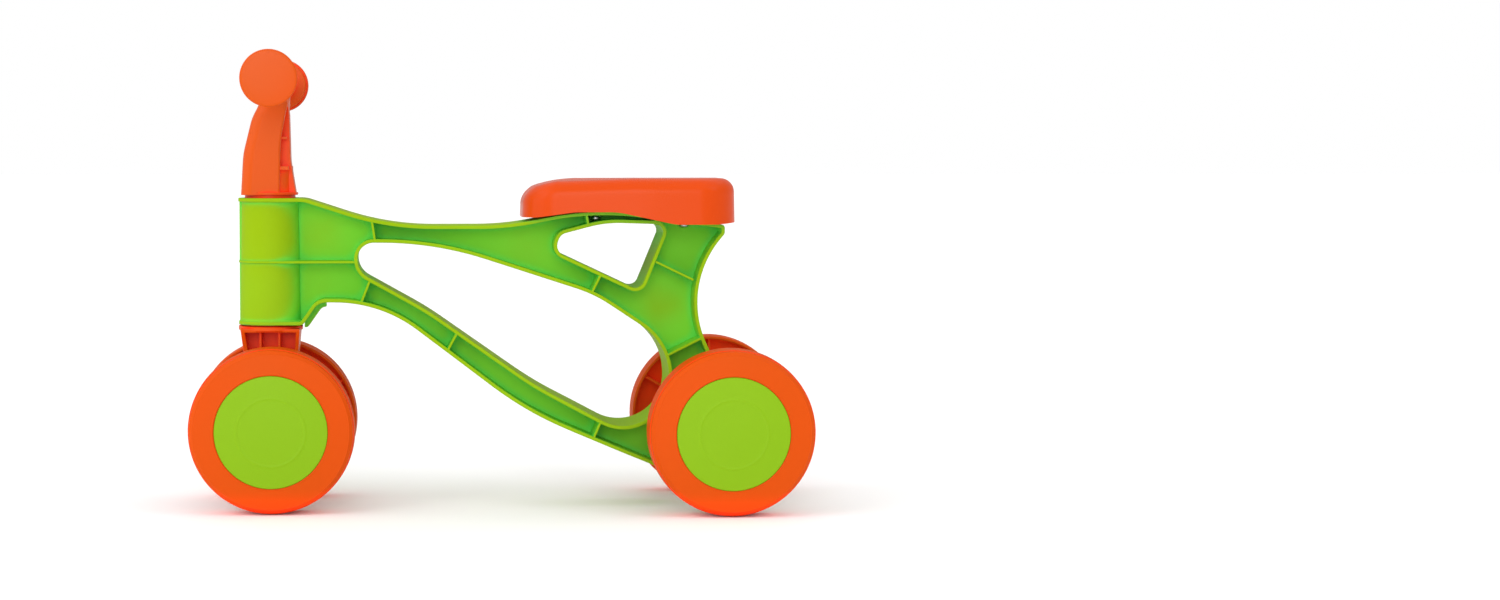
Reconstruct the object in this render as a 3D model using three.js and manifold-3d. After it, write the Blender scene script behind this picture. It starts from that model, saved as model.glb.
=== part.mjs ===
// A toddler's four-wheeled ride-on: a ribbed frame moulding with a seat, a steered fork with a
// handlebar, and four hollow wheels on steel rods. Millimetres. X points to the rider's left, the
// front faces -Y, Z is up, and the origin is on the floor, midway between the two axles.
import * as THREE from "three";
import { mergeVertices } from "three/addons/utils/BufferGeometryUtils.js";
import Module from "manifold-3d";

const wasm = await Module();
wasm.setup();

// ---- Driving dimensions ----

const wheelbase = 394.5;
const gap = 0.3; // between pieces that touch or turn in each other
const wallThickness = 3; // flanges, plates and shells of the big mouldings
const ribThickness = 2;

const wheelRadius = 72;
const wheelWidth = 32.5;
const wheelWall = 3.4; // under the tread
const shoulderRadius = 6;
const hubRadius = 11;
const hubCollarRadius = 15.5; // the thick outer end of the hub, around the nut's pocket
const wheelRibs = 6;
const faceRise = 1.9; // the outer face rises this much from the shoulder to the cap
const capRadius = 48.6;
const capDome = 2.3; // the cap's middle stands this much above its rim
const capWall = 2;
const capSeatDepth = 2.6;

const axleRadius = 4;
const axleShort = 1.8; // from a rod's end to the outer shoulder plane of the wheel
const washerRadius = 8;
const washerThickness = 1;
const nutRadius = 9;
const nutThickness = 3.4;
const frontStubEnd = 34.3; // half-widths across the ends of the fork's stubs and the frame's boss
const rearBossEnd = 62.5;

const steeringOffset = -3; // the steering axis, from the front axle
const headTopAboveAxle = 199.6;
const headBottomAboveAxle = 89;
const headTubeTopRadius = 25;
const headTubeBottomRadius = 26.3;
const headBore = 20.5;
const bushSeatBore = 22.6;
const bushSeatDepth = 14;
const headPlateRadius = 29.5;
const headRingRadius = 28;
const headRingAboveAxle = 144;
const headSlit = 2.7; // open gap above the head, and half of it below
const rearBossRadius = 16.5;
const rearHubRadius = 8;

const stemRadius = 17;
const stemWall = 3;
const stemTopAboveAxle = 224;
const forkFlangeRadius = 28.2;
const forkFlangeThickness = 4;
const forkHalfWidth = 18.6;
const forkBottomBelowAxle = 17;
const forkUprights = [-11.3, 5.1]; // cross ribs in the fork, from the front axle
const stubRadius = 6.2;

const gripRadius = 11.5;
const gripAboveAxle = 301;
const gripSetback = 2.5; // the grips' axis, behind the front axle
const handlebarHalfWidth = 117.5;
const endRimRadius = 24;
const endRimWidth = 3.6;
const endDiscRadius = 21.5;
const endDiscWidth = 7;
const barStemHalfWidth = 22.3;
const barFlangeRadius = 24.7;
const barFlangeThickness = 2.2;

const seatFront = -178; // the seat's ends, from the rear axle
const seatRear = 11;
const seatFrontHalfWidth = 47;
const seatRearHalfWidth = 52;
const seatTopAboveAxle = 216.5;
const seatWall = 2.6;
const seatEdgeRadius = 11;

const screwRadius = 2;
const screwHeadRadius = 4.5;
const screwHeadHeight = 2.6;
const seatScrewHalfSpacing = 15;
const seatScrewStations = [-112, -34]; // from the rear axle
const seatScrewLength = 15;
const seatBossRadius = 5.5;

const orange = { color: 0xee5a1c, roughness: 0.38, metalness: 0 };
const green = { color: 0x7cc242, roughness: 0.45, metalness: 0 };
const capGreen = { color: 0x93c423, roughness: 0.4, metalness: 0 };
const nylon = { color: 0xe8e6df, roughness: 0.5, metalness: 0 };
const steel = { color: 0xb9bcc0, roughness: 0.35, metalness: 1 };

const wheelSegments = 32;
const roundSegments = 28;
const smallSegments = 12;

// ---- Derived places ----

const axleHeight = wheelRadius;
const frontAxleY = -wheelbase / 2;
const rearAxleY = wheelbase / 2;
const front = (distance) => frontAxleY + distance;
const rear = (distance) => rearAxleY + distance;
const up = (height) => axleHeight + height;

const steeringY = front(steeringOffset);
const headTop = up(headTopAboveAxle);
const headBottom = up(headBottomAboveAxle);
const forkFlangeTop = headBottom - headSlit / 2;
const barBottom = headTop + headSlit;
const stemTop = up(stemTopAboveAxle);
const screwPlateTop = stemTop + gap + wallThickness;

const wheelStart = gap + washerThickness + gap; // from a stub's end to the hub's inner end
const hubInset = 0.7; // the hub starts this far inside the wheel's inner plane
const frontWheelPlane = frontStubEnd + wheelStart - hubInset;
const rearWheelPlane = rearBossEnd + wheelStart - hubInset;
const hubEnd = wheelWidth - axleShort - nutThickness - gap;

// ---- Solids from three.js geometry ----

const AXIS_X = new THREE.Vector3(1, 0, 0);
const AXIS_Y = new THREE.Vector3(0, 1, 0);
const AXIS_Z = new THREE.Vector3(0, 0, 1);

// A closed geometry as a manifold-3d solid with its faces pointing out.
function solid(geometry) {
  geometry.deleteAttribute("normal");
  geometry.deleteAttribute("uv");
  const merged = mergeVertices(geometry, 1e-4);
  const source = merged.index.array;
  const triangles = [];
  for (let i = 0; i < source.length; i += 3) {
    const [a, b, c] = [source[i], source[i + 1], source[i + 2]];
    if (a !== b && b !== c && c !== a) triangles.push(a, b, c);
  }
  const build = (triVerts) =>
    new wasm.Manifold(
      new wasm.Mesh({
        numProp: 3,
        vertProperties: merged.attributes.position.array,
        triVerts: new Uint32Array(triVerts),
      }),
    );
  const made = build(triangles);
  return made.volume() > 0 ? made : build(triangles.reverse());
}

// A solid as a geometry with flat faces.
function geometryOf(made) {
  const { vertProperties, triVerts } = made.getMesh();
  const geometry = new THREE.BufferGeometry()
    .setAttribute("position", new THREE.BufferAttribute(vertProperties, 3))
    .setIndex(new THREE.BufferAttribute(triVerts, 1));
  const flat = geometry.toNonIndexed();
  flat.computeVertexNormals();
  return flat;
}

// Joins solids into one.
function join(...solids) {
  return solids.reduce((all, one) => all.add(one));
}

// The points of a closed outline given by corners [u, v, radius], in order, with each corner
// rounded by an arc. A positive grow moves the whole outline outwards and a negative one inwards.
function outline(corners, grow = 0) {
  const count = corners.length;
  const points = corners.map(([u, v]) => new THREE.Vector2(u, v));
  const side = THREE.ShapeUtils.isClockWise(points) ? -1 : 1;
  const edges = points.map((p, i) => {
    const along = points[(i + 1) % count].clone().sub(p).normalize();
    const outward = new THREE.Vector2(along.y, -along.x).multiplyScalar(side);
    return { along, from: p.clone().addScaledVector(outward, grow) };
  });
  const moved = points.map((_, i) => {
    const before = edges[(i + count - 1) % count];
    const after = edges[i];
    const turn = before.along.cross(after.along);
    const offset = after.from.clone().sub(before.from);
    return before.from.clone().addScaledVector(before.along, offset.cross(after.along) / turn);
  });
  return moved.flatMap((corner, i) => {
    const before = edges[(i + count - 1) % count].along;
    const after = edges[i].along;
    const convex = before.cross(after) * side > 0;
    const given = corners[i][2];
    const radius = given && Math.max(0, given + (convex ? grow : -grow));
    if (!radius) return [corner];
    return arcPoints(corner, before, after, radius);
  });
}

// The arc that rounds one corner, in steps that stay within a small sag of the true circle.
function arcPoints(corner, before, after, radius) {
  const sag = 0.25;
  const turn = Math.acos(THREE.MathUtils.clamp(before.dot(after), -1, 1));
  const tangent = radius * Math.tan(turn / 2);
  const step = 2 * Math.acos(Math.max(0, 1 - sag / radius));
  const steps = Math.max(2, Math.ceil(turn / step));
  const start = corner.clone().addScaledVector(before, -tangent);
  const handed = Math.sign(before.cross(after));
  const inward = new THREE.Vector2(-before.y, before.x).multiplyScalar(radius * handed);
  const centre = start.clone().add(inward);
  return Array.from({ length: steps + 1 }, (_, k) =>
    start.clone().rotateAround(centre, (handed * turn * k) / steps),
  );
}

function extrude(points, depth, options = {}) {
  const shape = new THREE.Shape(points);
  return new THREE.ExtrudeGeometry(shape, { depth, bevelEnabled: false, ...options });
}

// An outline in the (Y, Z) plane, given a thickness along X.
function sideSlab(points, fromX, toX) {
  const basis = new THREE.Matrix4().makeBasis(AXIS_Y, AXIS_Z, AXIS_X).setPosition(fromX, 0, 0);
  return solid(extrude(points, toX - fromX).applyMatrix4(basis));
}

// An outline in the (X, Z) plane, given a thickness along Y.
function frontSlab(points, fromY, toY) {
  const basis = new THREE.Matrix4()
    .makeBasis(AXIS_X, AXIS_Z, AXIS_Y.clone().negate())
    .setPosition(0, toY, 0);
  return solid(extrude(points, toY - fromY).applyMatrix4(basis));
}

// An outline in the (X, Y) plane, given a thickness along Z.
function planSlab(points, fromZ, toZ) {
  return solid(extrude(points, toZ - fromZ).translate(0, 0, fromZ));
}

function box(fromX, toX, fromY, toY, fromZ, toZ) {
  const shape = new THREE.BoxGeometry(toX - fromX, toY - fromY, toZ - fromZ);
  return solid(shape.translate((fromX + toX) / 2, (fromY + toY) / 2, (fromZ + toZ) / 2));
}

// A profile of [distance along the axis, radius] turned about an axis. The flats of the faceted
// surface touch the true circle, so a wheel stands on a flat at its true radius.
function turned(profile, segments) {
  const circumscribed = 1 / Math.cos(Math.PI / segments);
  const points = profile.map(([along, radius]) => new THREE.Vector2(radius * circumscribed, along));
  return new THREE.LatheGeometry(points, segments, Math.PI / segments);
}

function turnedAboutX(profile, segments, y, z) {
  const basis = new THREE.Matrix4().makeBasis(AXIS_Y.clone().negate(), AXIS_X, AXIS_Z);
  return solid(turned(profile, segments).applyMatrix4(basis.setPosition(0, y, z)));
}

function turnedAboutZ(profile, segments, x, y) {
  const basis = new THREE.Matrix4().makeBasis(AXIS_X, AXIS_Z, AXIS_Y.clone().negate());
  return solid(turned(profile, segments).applyMatrix4(basis.setPosition(x, y, 0)));
}

const rod = (radius, from, to) => [[from, 0], [from, radius], [to, radius], [to, 0]];

const ring = (inner, outer, from, to) => [
  [from, inner],
  [from, outer],
  [to, outer],
  [to, inner],
  [from, inner],
];

// ---- Frame ----

const frameOutline = [
  [steeringY - 17, headTop, 0],
  [front(28), headTop, 30],
  [front(101), up(175.8), 250],
  [front(205), up(175.8), 250],
  [rear(-115), up(189.3), 250],
  [rear(0.5), up(176), 3],
  [rear(0.5), up(168.5), 5],
  [rear(-38.5), up(122), 87],
  [rear(21.7), up(-7.2), 17],
  [rear(-42.5), up(-43), 14],
  [rear(-173.5), up(12.5), 300],
  [front(93.5), up(109), 120],
  [front(40), up(109), 12],
  [front(26), headBottom, 0],
  [steeringY - 17, headBottom, 0],
];

const bigWindow = [
  [front(74), up(161), 14],
  [front(142), up(160.5), 300],
  [rear(-114.5), up(116), 120],
  [rear(-48), up(72), 56],
  [rear(-47.5), up(-26.5), 40],
  [rear(-165.5), up(36), 300],
  [front(135), up(102), 300],
  [front(74), up(136), 18],
];

const seatWindow = [
  [rear(-148.5), up(153.5), 9],
  [rear(-144), up(168), 9],
  [rear(-104.5), up(178.5), 100],
  [rear(-50.5), up(176.5), 7],
  [rear(-74), up(118.5), 8],
];

// The frame's width seen from above, as [half-width, y].
const frameHalfWidths = [
  [headPlateRadius, front(50)],
  [27, front(112)],
  [27.4, front(140)],
  [29.2, front(200)],
  [31.6, rear(-160)],
  [34, rear(-125)],
  [34, rear(-95)],
  [29.5, rear(-58)],
  [29.5, rear(40)],
];

// Cross ribs as [y, z] to [y, z]. Both ends run on into the flanges they join.
const frameRibs = [
  [front(86.5), up(183), front(89.5), up(160)],
  [front(85.5), up(130), front(76), up(105)],
  [rear(-231.5), up(86), rear(-243), up(65)],
  [rear(-106.5), up(8), rear(-116.5), up(-15)],
  [rear(-107.5), up(135), rear(-117.5), up(115)],
  [rear(-121.5), up(190.5), rear(-119.5), up(176)],
  [rear(-60.5), up(184), rear(-59.5), up(177)],
  [rear(-60), up(144), rear(-27), up(128)],
  [rear(-50), up(61.5), rear(-17), up(78)],
];

function rib([y0, z0, y1, z1]) {
  const reach = 2 * headPlateRadius + 20;
  const plate = new THREE.BoxGeometry(reach, ribThickness, Math.hypot(y1 - y0, z1 - z0));
  plate.rotateX(Math.atan2(y0 - y1, z1 - z0));
  return solid(plate.translate(0, (y0 + y1) / 2, (z0 + z1) / 2));
}

// Everything inside the width of the frame, seen from above.
function frameWidthEnvelope() {
  const left = [[headPlateRadius, steeringY - 17], ...frameHalfWidths];
  const right = left.map(([x, y]) => [-x, y]).reverse();
  const corners = [...left, ...right].map(([x, y]) => new THREE.Vector2(x, y));
  return planSlab(corners, 0, headTop + 1);
}

// The lower flange's end, rounded in plan where it turns up to the axle boss.
function lowerEndCut() {
  const [fromY, toY] = [rear(-90), rear(-30)];
  const half = 34.6;
  const tip = toY - 16;
  const keep = outline([
    [-half, fromY - 1, 0],
    [half, fromY - 1, 0],
    [half, tip, 30],
    [-half, tip, 30],
  ]);
  return box(-40, 40, fromY, toY, 0, up(-27)).subtract(planSlab(keep, 0, up(-27) + 1));
}

function headSolids() {
  const taper = [
    [headBottom, 0],
    [headBottom, headTubeBottomRadius],
    [headTop, headTubeTopRadius],
    [headTop, 0],
  ];
  const about = (profile) => turnedAboutZ(profile, roundSegments, 0, steeringY);
  const ringZ = up(headRingAboveAxle);
  const finHalf = 1.3;
  const finFront = steeringY - headPlateRadius + 0.4;
  const fin = box(-finHalf, finHalf, finFront, steeringY, headBottom, headTop);
  return join(
    about(taper),
    about(rod(headPlateRadius, headTop - wallThickness, headTop)),
    about(rod(headPlateRadius, headBottom, headBottom + wallThickness)),
    about(rod(headRingRadius, ringZ - ribThickness / 2, ringZ + ribThickness / 2)),
    fin,
  );
}

// The through bore of the head with a wider seat for a bush at each end.
function headBoreSolid() {
  const [low, high] = [headBottom, headTop];
  return turnedAboutZ(
    [
      [low - 1, 0],
      [low - 1, bushSeatBore],
      [low + bushSeatDepth, bushSeatBore],
      [low + bushSeatDepth, headBore],
      [high - bushSeatDepth, headBore],
      [high - bushSeatDepth, bushSeatBore],
      [high + 1, bushSeatBore],
      [high + 1, 0],
    ],
    roundSegments,
    0,
    steeringY,
  );
}

// The rear axle boss: a shell around a hub tube, joined by a disc at the middle and four ribs.
function rearBoss() {
  const end = rearBossEnd;
  const shell = rearBossRadius - wallThickness;
  const section = [
    [-end, axleRadius + gap],
    [-end, rearHubRadius],
    [-3, rearHubRadius],
    [-3, shell],
    [-end + 1, shell],
    [-end + 1, rearBossRadius],
    [end - 1, rearBossRadius],
    [end - 1, shell],
    [3, shell],
    [3, rearHubRadius],
    [end, rearHubRadius],
    [end, axleRadius + gap],
    [-end, axleRadius + gap],
  ];
  const spokes = [-1, 1].flatMap((side) => {
    const [from, to] = side < 0 ? [-end + 4, -2] : [2, end - 4];
    const inner = rearHubRadius - 1;
    const outer = shell + 1;
    return [
      box(from, to, rearAxleY + inner, rearAxleY + outer, axleHeight - 1, axleHeight + 1),
      box(from, to, rearAxleY - outer, rearAxleY - inner, axleHeight - 1, axleHeight + 1),
      box(from, to, rearAxleY - 1, rearAxleY + 1, axleHeight + inner, axleHeight + outer),
      box(from, to, rearAxleY - 1, rearAxleY + 1, axleHeight - outer, axleHeight - inner),
    ];
  });
  return join(turnedAboutX(section, roundSegments, rearAxleY, axleHeight), ...spokes);
}

// The lug that hangs behind the fork's flange and follows the fillet under the head.
function steeringLug() {
  const halfWidth = 8;
  const strip = sideSlab(outline(frameOutline, 5), -halfWidth, halfWidth).subtract(
    sideSlab(outline(frameOutline, -1), -halfWidth - 1, halfWidth + 1),
  );
  return strip.intersect(box(-20, 20, front(27), front(46), headBottom - 3, up(109)));
}

function seatScrewPlaces() {
  return seatScrewStations.flatMap((station, row) =>
    [1, -1].map((side) => ({
      name: `seat_screw_${row ? "rear" : "front"}_${side > 0 ? "left" : "right"}`,
      x: side * seatScrewHalfSpacing,
      y: rear(station),
      z: flangeTopAt(rear(station)),
    })),
  );
}

// The height of the frame's top line at a place along the frame.
function flangeTopAt(y) {
  const points = outline(frameOutline);
  const heights = points.flatMap((a, i) => {
    const b = points[(i + 1) % points.length];
    if ((a.x - y) * (b.x - y) > 0 || a.x === b.x) return [];
    return [a.y + ((b.y - a.y) * (y - a.x)) / (b.x - a.x)];
  });
  return Math.max(...heights);
}

function frameSolid() {
  const far = 60;
  const windows = [bigWindow, seatWindow];
  const whole = windows.reduce(
    (body, hole) => body.subtract(sideSlab(outline(hole), -far, far)),
    sideSlab(outline(frameOutline), -far + 1, far - 1),
  );
  const bodyRegion = whole
    .intersect(frameWidthEnvelope())
    .intersect(box(-far, far, steeringY, rear(60), 0, headTop + 1));
  const panel = windows.reduce(
    (core, hole) => core.subtract(sideSlab(outline(hole, wallThickness), -far - 1, far + 1)),
    sideSlab(outline(frameOutline, -wallThickness), -far, far),
  );
  const web = box(-wallThickness / 2, wallThickness / 2, steeringY, rear(60), 0, headTop + 1);
  const ringZ = up(headRingAboveAxle);
  const [ribLow, ribHigh] = [ringZ - ribThickness / 2, ringZ + ribThickness / 2];
  const headRib = box(-far, far, steeringY, front(75), ribLow, ribHigh);
  const ribs = join(headRib, web, ...frameRibs.map(rib));
  const aboutAxle = (radius, reach, segments) =>
    turnedAboutX(rod(radius, -reach, reach), segments, rearAxleY, axleHeight);
  const axleBore = aboutAxle(axleRadius + gap, far + 20, smallSegments);
  const bossClear = aboutAxle(rearBossRadius - 0.5, far, roundSegments);
  const screwHoles = seatScrewPlaces().map(({ x, y, z }) =>
    turnedAboutZ(rod(screwRadius + 0.5, z - 10, z + 10), smallSegments, x, y),
  );
  const moulded = bodyRegion
    .subtract(panel)
    .subtract(lowerEndCut())
    .add(bodyRegion.intersect(ribs))
    .subtract(bossClear);
  return join(moulded, headSolids(), rearBoss(), steeringLug())
    .subtract(headBoreSolid())
    .subtract(axleBore)
    .subtract(join(...screwHoles));
}

// ---- Seat ----

const seatPlan = [
  [-seatFrontHalfWidth, rear(seatFront), 30],
  [seatFrontHalfWidth, rear(seatFront), 30],
  [seatRearHalfWidth, rear(-60), 90],
  [seatRearHalfWidth, rear(seatRear), 34],
  [-seatRearHalfWidth, rear(seatRear), 34],
  [-seatRearHalfWidth, rear(-60), 90],
];

const seatSide = [
  [rear(seatFront), up(183), 0],
  [rear(seatFront) + 3, up(209), 12],
  [rear(-138), up(seatTopAboveAxle), 90],
  [rear(seatRear) - 1, up(seatTopAboveAxle), 12],
  [rear(seatRear), up(179), 0],
  [rear(-8), up(177), 10],
  [rear(-45), up(177), 30],
  [rear(-95), up(190.5), 60],
  [rear(-130), up(190.5), 60],
  [rear(-155), up(183), 20],
];

// A solid block of the seat's outer form, or of its hollow when it is drawn in by an inset.
function seatForm(inset) {
  const edge = seatEdgeRadius - inset;
  const top = up(seatTopAboveAxle) - inset;
  const depth = 60;
  const plan = extrude(outline(seatPlan, -inset - edge), depth, {
    bevelEnabled: true,
    bevelSize: edge,
    bevelThickness: edge,
    bevelSegments: 3,
  });
  return solid(plan.translate(0, 0, top - depth - edge));
}

function seatSolid() {
  const clearHalf = Math.max(...frameHalfWidths.map(([half]) => half)) + gap;
  const frameClearance = sideSlab(outline(frameOutline, gap), -clearHalf, clearHalf);
  const side = sideSlab(outline(seatSide), -70, 70);
  const hollow = seatForm(seatWall).intersect(
    box(-70, 70, rear(-300), rear(60), 0, up(seatTopAboveAxle) - seatWall),
  );
  const innerSide = sideSlab(
    outline([
      [rear(seatFront) - 20, 0, 0],
      [rear(seatFront) + 2, up(206), 12],
      [rear(-138), up(seatTopAboveAxle) - seatWall, 90],
      [rear(60), up(seatTopAboveAxle) - seatWall, 0],
      [rear(60), 0, 0],
    ]),
    -80,
    80,
  );
  const shell = seatForm(0).intersect(side).subtract(hollow.intersect(innerSide));
  const insideTop = up(seatTopAboveAxle) - seatWall / 2;
  const [ribHalf, ribReach] = [ribThickness / 2, 14];
  const supports = seatScrewPlaces().flatMap(({ x, y, z }) => [
    turnedAboutZ(rod(seatBossRadius, z, insideTop), smallSegments, x, y),
    box(x - ribHalf, x + ribHalf, y - ribReach, y + ribReach, z, insideTop),
  ]);
  const holes = seatScrewPlaces().map(({ x, y, z }) =>
    turnedAboutZ(rod(screwRadius + gap, z - 1, z + seatScrewLength + gap), smallSegments, x, y),
  );
  return join(shell, ...supports).subtract(frameClearance).subtract(join(...holes));
}

// A pan-head screw that points up. Its head sits under the frame's top flange.
function seatScrew({ x, y, z }) {
  const underFlange = z - wallThickness - 0.9;
  return turnedAboutZ(
    [
      [underFlange - screwHeadHeight, 0],
      [underFlange - screwHeadHeight, screwHeadRadius - 1.2],
      [underFlange - screwHeadHeight + 1, screwHeadRadius],
      [underFlange, screwHeadRadius],
      [underFlange, screwRadius],
      [z + seatScrewLength - 2, screwRadius],
      [z + seatScrewLength, 0],
    ],
    smallSegments,
    x,
    y,
  );
}

// ---- Fork ----

const forkSide = [
  [front(-28.3), forkFlangeTop - 2, 0],
  [front(-24.6), up(60), 30],
  [front(-21), up(0), 60],
  [front(-20), up(-forkBottomBelowAxle), 3],
  [front(20), up(-forkBottomBelowAxle), 3],
  [front(21), up(0), 60],
  [front(21.4), up(60), 30],
  [front(23.3), forkFlangeTop - 2, 0],
];

function forkFace() {
  const flare = forkFlangeTop - forkFlangeThickness;
  const half = [
    [25.2, flare + 2, 0],
    [25.2, flare, 0],
    [forkHalfWidth + 0.3, flare - 15, 20],
    [forkHalfWidth - 0.8, up(-forkBottomBelowAxle) - 1, 0],
  ];
  const mirrored = half.map(([x, z, radius]) => [-x, z, radius]).reverse();
  return frontSlab(outline([...half, ...mirrored]), front(-40), front(40));
}

// The box of the fork below its flange: front, rear and bottom plates around a centre web.
function forkBox() {
  const reach = 30;
  const block = sideSlab(outline(forkSide), -reach, reach).intersect(forkFace());
  const core = sideSlab(outline(forkSide, -wallThickness), -reach - 1, reach + 1);
  const web = box(-wallThickness / 2, wallThickness / 2, front(-40), front(40), 0, forkFlangeTop);
  const ribHalf = ribThickness / 2;
  const uprightHalf = forkHalfWidth - 1;
  const uprights = forkUprights.map((station) =>
    box(-uprightHalf, uprightHalf, front(station) - ribHalf, front(station) + ribHalf, 0, forkFlangeTop),
  );
  const frontRib = frontRibWedge();
  return join(block.subtract(core), block.intersect(join(web, ...uprights)), frontRib);
}

// The thin rib down the middle of the fork's front plate. It fades out towards the axle.
function frontRibWedge() {
  const points = [
    [front(-29.8), forkFlangeTop - 3],
    [front(-22.2), up(26)],
    [front(-21), up(26)],
    [front(-26), forkFlangeTop - 3],
  ].map(([y, z]) => new THREE.Vector2(y, z));
  return sideSlab(points, -1.1, 1.1);
}

// An axle stub with crossed gusset plates at its root, on one side of the fork.
function forkStub(side) {
  const reach = rod(stubRadius, side * 14, side * frontStubEnd);
  const stub = turnedAboutX(reach, smallSegments, frontAxleY, axleHeight);
  const gusset = [
    [side * 16, up(-15)],
    [side * (forkHalfWidth + 0.5), up(-14)],
    [side * 25, up(-stubRadius + 0.6)],
    [side * 25, up(stubRadius - 0.6)],
    [side * (forkHalfWidth + 0.5), up(12.5)],
    [side * 16, up(13.5)],
  ].map(([x, z]) => new THREE.Vector2(x, z));
  const flat = gusset.map(({ x, y }) => new THREE.Vector2(x, y - axleHeight + frontAxleY));
  return join(
    stub,
    frontSlab(gusset, frontAxleY - 1.5, frontAxleY + 1.5),
    planSlab(flat, axleHeight - 1.5, axleHeight + 1.5),
  );
}

// The stem tube with a closed top that takes the handlebar screw.
function forkStem() {
  const inner = stemRadius - stemWall;
  const capStart = stemTop - 12;
  const low = forkFlangeTop - forkFlangeThickness;
  return turnedAboutZ(
    [
      [low, inner],
      [low, forkFlangeRadius],
      [forkFlangeTop, forkFlangeRadius],
      [forkFlangeTop, bushSeatBore - 0.4],
      [headBottom, bushSeatBore - 0.4],
      [headBottom, stemRadius],
      [stemTop, stemRadius],
      [stemTop, screwRadius + gap],
      [capStart, screwRadius + gap],
      [capStart, inner],
      [low, inner],
    ],
    roundSegments,
    0,
    steeringY,
  );
}

function forkSolid() {
  const axleBore = turnedAboutX(rod(axleRadius + gap, -60, 60), smallSegments, frontAxleY, axleHeight);
  return join(forkStem(), forkBox(), forkStub(1), forkStub(-1)).subtract(axleBore);
}

// ---- Handlebar ----

function barFace() {
  const grip = up(gripAboveAxle);
  const half = [
    [barStemHalfWidth, barBottom - 5, 0],
    [barStemHalfWidth, up(253), 100],
    [31, grip - gripRadius, 14],
    [45, grip - gripRadius, 0],
    [45, grip + gripRadius, 0],
    [26, grip + gripRadius, 18],
  ];
  const mirrored = half.map(([x, z, radius]) => [-x, z, radius]).reverse();
  const valley = [0, grip - 5, 16];
  return outline([...half, valley, ...mirrored]);
}

function barSide() {
  const grip = up(gripAboveAxle);
  const corners = [
    [front(-29.8), barBottom - 5, 0],
    [front(-26.8), up(238), 60],
    [front(-17.5), up(270), 25],
    [front(gripSetback) - gripRadius, up(286), 12],
    [front(gripSetback) - gripRadius, grip + gripRadius, gripRadius - 0.1],
    [front(gripSetback) + gripRadius, grip + gripRadius, gripRadius - 0.1],
    [front(gripSetback) + gripRadius, up(288), 6],
    [front(9.5), up(272), 12],
    [front(6), barBottom - 5, 0],
  ];
  return outline(corners);
}

// The thin spine in the stem's hollow, with its back strip. Its front edge lies in the shell.
const barSpine = [
  [front(-24), barBottom, 0],
  [front(-23.4), up(240), 0],
  [front(-7), up(282), 0],
  [front(15), up(290), 0],
  [front(18), up(272), 8],
  [front(19), up(228), 30],
  [front(22.5), barBottom, 0],
];

function barStem() {
  const outer = sideSlab(barSide(), -60, 60).intersect(frontSlab(barFace(), front(-60), front(60)));
  const opening = [
    [front(-26.4), barBottom - 5],
    [front(-23.6), up(236)],
    [front(-14), up(266)],
    [front(-6), up(276)],
    [front(20), up(276)],
    [front(20), barBottom - 5],
  ].map(([y, z]) => new THREE.Vector2(y, z));
  const half = barStemHalfWidth - wallThickness;
  const hollow = sideSlab(opening, -half, half);
  const above = box(-70, 70, front(-60), front(60), barBottom, up(400));
  const strip = box(-11, 11, front(-60), front(60), barBottom, up(282)).intersect(
    sideSlab(outline(barSpine), -30, 30).subtract(sideSlab(outline(barSpine, -2.2), -40, 40)),
  );
  const behind = box(-30, 30, front(8), front(60), barBottom, up(282));
  const spine = sideSlab(outline(barSpine), -1.4, 1.4);
  return join(outer.subtract(hollow).intersect(above), spine, strip.intersect(behind));
}

// Flat floors across the stem: the lower one carries the screw.
function barFloors() {
  const half = barStemHalfWidth - 1;
  const floor = (top, thickness) =>
    sideSlab(outline(barSpine), -half, half).intersect(
      box(-half, half, front(-24), front(21), top - thickness, top),
    );
  return join(floor(screwPlateTop, wallThickness), floor(up(253), ribThickness));
}

function gripAndEnd(side) {
  const [rim, disc] = [handlebarHalfWidth, handlebarHalfWidth - endRimWidth];
  const profile = [
    [30, 0],
    [30, gripRadius],
    [disc - endDiscWidth, gripRadius],
    [disc - endDiscWidth, endDiscRadius],
    [disc, endDiscRadius],
    [disc, endRimRadius - 0.6],
    [disc + 0.8, endRimRadius],
    [rim - 1.2, endRimRadius],
    [rim - 0.2, endRimRadius - 2.5],
    [rim, 0],
  ].map(([along, radius]) => [side * along, radius]);
  return turnedAboutX(profile, roundSegments, front(gripSetback), up(gripAboveAxle));
}

function handlebarSolid() {
  const about = (profile, segments = roundSegments) =>
    turnedAboutZ(profile, segments, 0, steeringY);
  const bore = stemRadius + gap;
  const flange = about(rod(barFlangeRadius, barBottom, barBottom + barFlangeThickness));
  const neck = about(rod(bushSeatBore - 0.4, headTop, barBottom + 1));
  const socket = about(rod(bore + wallThickness, barBottom, screwPlateTop));
  const socketBore = about(rod(bore, headTop - 1, stemTop + gap));
  const screwHole = about(rod(screwRadius + 0.5, stemTop, screwPlateTop + 1), smallSegments);
  const headRoom = about(rod(washerRadius + 1, screwPlateTop, screwPlateTop + 14), smallSegments);
  const keepStem = box(-60, 60, front(-60), front(23), headTop, up(330));
  const rimFront = front(gripSetback) - endRimRadius - 1;
  const keepGrips = box(-130, 130, rimFront, front(40), up(270), up(330));
  return join(barStem(), barFloors(), flange, neck, socket, gripAndEnd(1), gripAndEnd(-1))
    .subtract(socketBore)
    .subtract(screwHole)
    .subtract(headRoom)
    .intersect(join(keepStem, keepGrips));
}

function handlebarScrew() {
  const seat = screwPlateTop + gap + washerThickness + gap;
  return turnedAboutZ(
    [
      [stemTop - 11, 0],
      [stemTop - 9, screwRadius],
      [seat, screwRadius],
      [seat, screwHeadRadius],
      [seat + screwHeadHeight - 1, screwHeadRadius],
      [seat + screwHeadHeight, screwHeadRadius - 1.2],
      [seat + screwHeadHeight, 0],
    ],
    smallSegments,
    0,
    steeringY,
  );
}

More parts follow.
